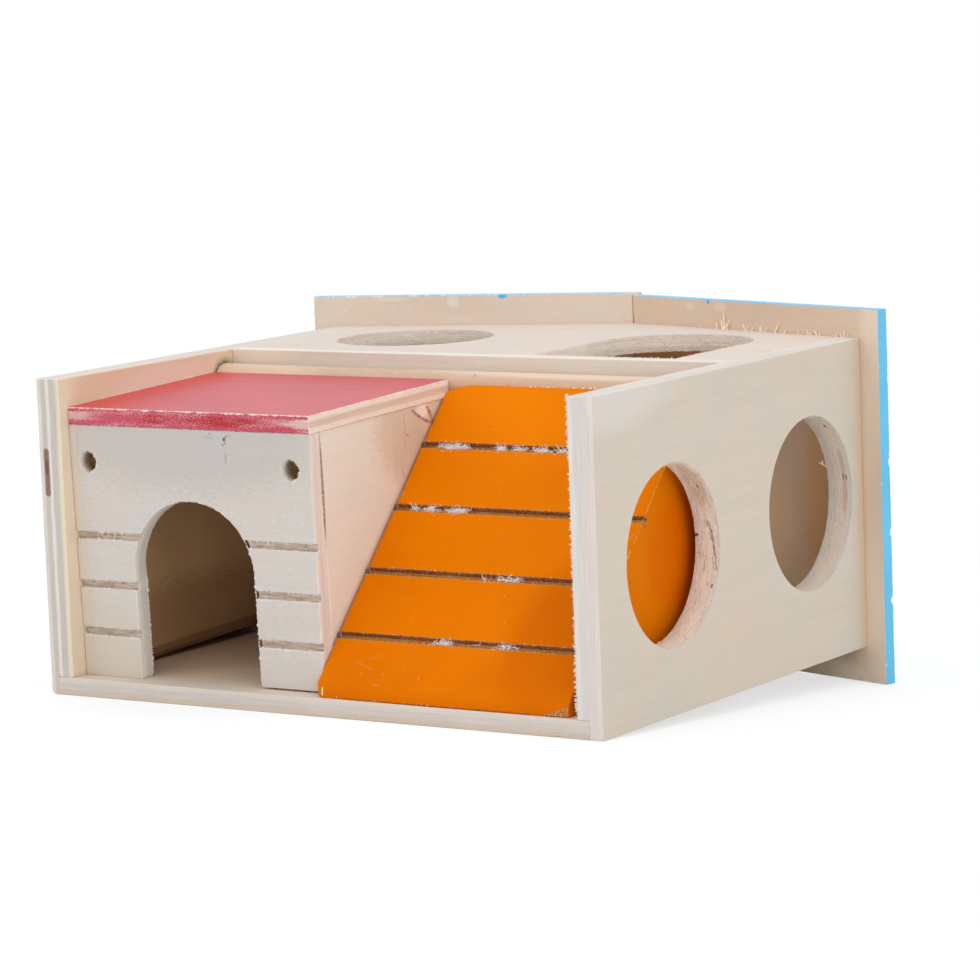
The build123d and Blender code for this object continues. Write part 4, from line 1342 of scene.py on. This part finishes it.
# %% Hole rims
lines = []
for x, z in ((11.5, 50.4), (68.7, 50.6)):
    lines += fringe(rng, ROOM, hoop((x, z), FRONT, 2.5, -80, 85), 60, 0.6, 0.11, spread=0.5)
lines += fringe(rng, HOUSE, ring(DECK_SLOT, 73.8, 19.4, 0, 180, way_up=0.2), 60, 0.5, 0.1)
lines += fringe(rng, HOUSE, ring(DECK_HOLE, 69.9, 19.4, 5, 175, way_up=-0.4), 90, 0.45, 0.1)
lines += fringe(rng, HOUSE, straight((91, 72.2, 74.0), (128, 72.2, 74.0), (0, 0.6, 0.5)), 60, 0.4, 0.1)
lines += fringe(rng, HOUSE, straight((128.6, 76, 73.9), (128.6, 104, 73.9), (-0.8, 0, 0.4)), 60, 0.5, 0.1)
for hole, count in ((FRONT_HOLE, 170), (REAR_HOLE, 120)):
    edge = (*hole[:2], hole[2] + 0.03)  # just inside the wood
    for x in (143.75, 149.85):
        for _ in range(count):
            turn = rng.uniform(-100, 110)
            c, s = math.cos(math.radians(turn)), math.sin(math.radians(turn))
            way = (rng.uniform(-0.6, 0.6), -c + rng.uniform(-0.6, 0.6), -s + rng.uniform(-0.6, 0.6))
            lines.append(curl(rng, HOUSE, (x, *on_rim(edge, turn, 0)[:2]), way, rng.uniform(0.12, 0.4),
                              rng.uniform(0.05, 0.09), bend=0.3, parts=2))
    for _ in range(count):
        turn = rng.triangular(-75, 10, -35)
        c, s = math.cos(math.radians(turn)), math.sin(math.radians(turn))
        start = (rng.uniform(144.2, 149.4), *on_rim(edge, turn, 0)[:2])
        way = (rng.uniform(-0.3, 0.3), s * 1.2 - c * 0.4, -c * 1.2 - s * 0.4)
        lines.append(curl(rng, HOUSE, start, way, rng.uniform(0.5, 1.2), rng.uniform(0.05, 0.09),
                          bend=0.2, parts=2))
back, up, _ = on_rim(REAR_HOLE, 17, 0.2)
for out, way, long in ((0.0, (-1, 0, 0.5), 2.3), (1.0, (-0.2, 0, 1.0), 1.0)):
    lines.append(curl(rng, HOUSE, (143.8 - out, back, up + out / 2), way, long, 0.2, bend=0.12, taper=0.4))
threads("rim_fibres", warm_fibre, lines)

# %% [markdown]
# ## Light
#
# Three soft boxes: a wide one overhead, a weak one from the front left, and a stronger one
# from the front right, so that faces which look different ways differ in brightness. The
# rest of the light comes from a white room all round.

# %% Lamps
def lamp(name, at, aim, size, power):
    """A soft box: a square area lamp that looks at a point."""
    data = bpy.data.lights.new(name, "AREA")
    data.shape, data.size, data.energy = "SQUARE", size, power
    box = bpy.data.objects.new(name, data)
    box.location = at
    box.rotation_euler = (Vector(aim) - Vector(at)).to_track_quat("-Z", "Y").to_euler()
    bpy.context.scene.collection.objects.link(box)


lamp("overhead", (0.0, -0.1, 1.5), (0, 0, 0), 1.6, 5.6)
lamp("front_left", (-0.9, -1.3, 0.6), (0, 0, 0.04), 1.0, 1.8)
lamp("front_right", (1.25, -1.0, 0.5), (0, 0, 0.04), 1.0, 4.4)
print("lamps: overhead, front left and front right")

# %% [markdown]
# ## A white room
#
# The background has to be pure white, but a room that lights the house as brightly would
# wash out its shadows. So the air is full white where the camera sees it, straight or in a
# reflection, and dimmer where it only gives light.

# %% World
def seen_directly(tree):
    """1 for light seen straight, through glass or in a reflection, and 0 for light that falls on things."""
    path = add(tree, "LightPath")
    seen = add(tree, "Math", (path.outputs["Is Camera Ray"], path.outputs["Is Transmission Ray"]),
               operation="MAXIMUM")
    return add(tree, "Math", (seen, path.outputs["Is Glossy Ray"]), operation="MAXIMUM")


world = bpy.data.worlds.new("studio")
bpy.context.scene.world = world
world.use_nodes = True
air = world.node_tree
air.nodes.clear()
dim = add(air, "Background", {"Color": (1, 1, 1, 1), "Strength": 0.82})
white = add(air, "Background", {"Color": (1, 1, 1, 1), "Strength": 1.0})
add(air, "OutputWorld", {"Surface": add(air, "MixShader", (seen_directly(air), dim, white))})
print(f"world: {len(air.nodes)} nodes")

# %% [markdown]
# ## White paper
#
# The house stands on seamless paper. Close to the house the paper is partly lit by the
# lamps, so that it takes a faint shadow, and further out it glows and ends in pure white.
# As a source of bounced light it is plain light grey paper.

# %% Paper
bm = bmesh.new()
bmesh.ops.create_grid(bm, x_segments=1, y_segments=1, size=6.0)
floor_mesh = bpy.data.meshes.new("studio_floor")
bm.to_mesh(floor_mesh)
bm.free()
floor = bpy.data.objects.new("studio_floor", floor_mesh)
bpy.context.scene.collection.objects.link(floor)
paper, sheet = blank_material("white_seamless_paper")
away = add(sheet, "VectorMath", (add(sheet, "NewGeometry"),), operation="LENGTH")
away = add(sheet, "MapRange", (away, 0.16, 0.4), interpolation_type="SMOOTHSTEP")
matt = add(sheet, "BsdfDiffuse", {"Color": (0.88, 0.88, 0.88, 1)})
faint = add(sheet, "BsdfDiffuse", {"Color": (0.374, 0.38, 0.39, 1)})
faint = add(sheet, "AddShader", (faint, add(sheet, "Emission", {"Strength": 0.65})))
plain = add(sheet, "Emission", {"Strength": 1.0})
shown = add(sheet, "MixShader", (away, faint, plain))
add(sheet, "OutputMaterial", {"Surface": add(sheet, "MixShader", (seen_directly(sheet), matt, shown))})
floor_mesh.materials.append(paper)
print(f"paper: {floor.dimensions.x:.0f} m wide, {len(sheet.nodes)} nodes")

# %% [markdown]
# ## Camera
#
# A long lens, nearly a metre away and a little above the deck, looks at the front and the
# right side. Its place and its two directions say where it stands, where its right is, and
# where it looks. The standard view keeps the colours as they were picked.

# %% Camera
camera = bpy.data.objects.new("camera", bpy.data.cameras.new("camera"))
bpy.context.scene.collection.objects.link(camera)
bpy.context.scene.camera = camera
camera.data.sensor_width, camera.data.lens = 36, 147.09
camera.data.clip_start, camera.data.clip_end = 0.05, 20
stands = Vector((0.51105, -0.79856, 0.11743))
right = Vector((0.84251, 0.53868, 0.00074))
look = Vector((-0.53713, 0.84018, -0.07482))
turned = Matrix((right, right.cross(look), -look)).transposed().to_4x4()
camera.matrix_world = Matrix.Translation(stands) @ turned
bpy.context.scene.view_settings.view_transform = "Standard"
print(f"the camera is {stands.length:.2f} m from the house")
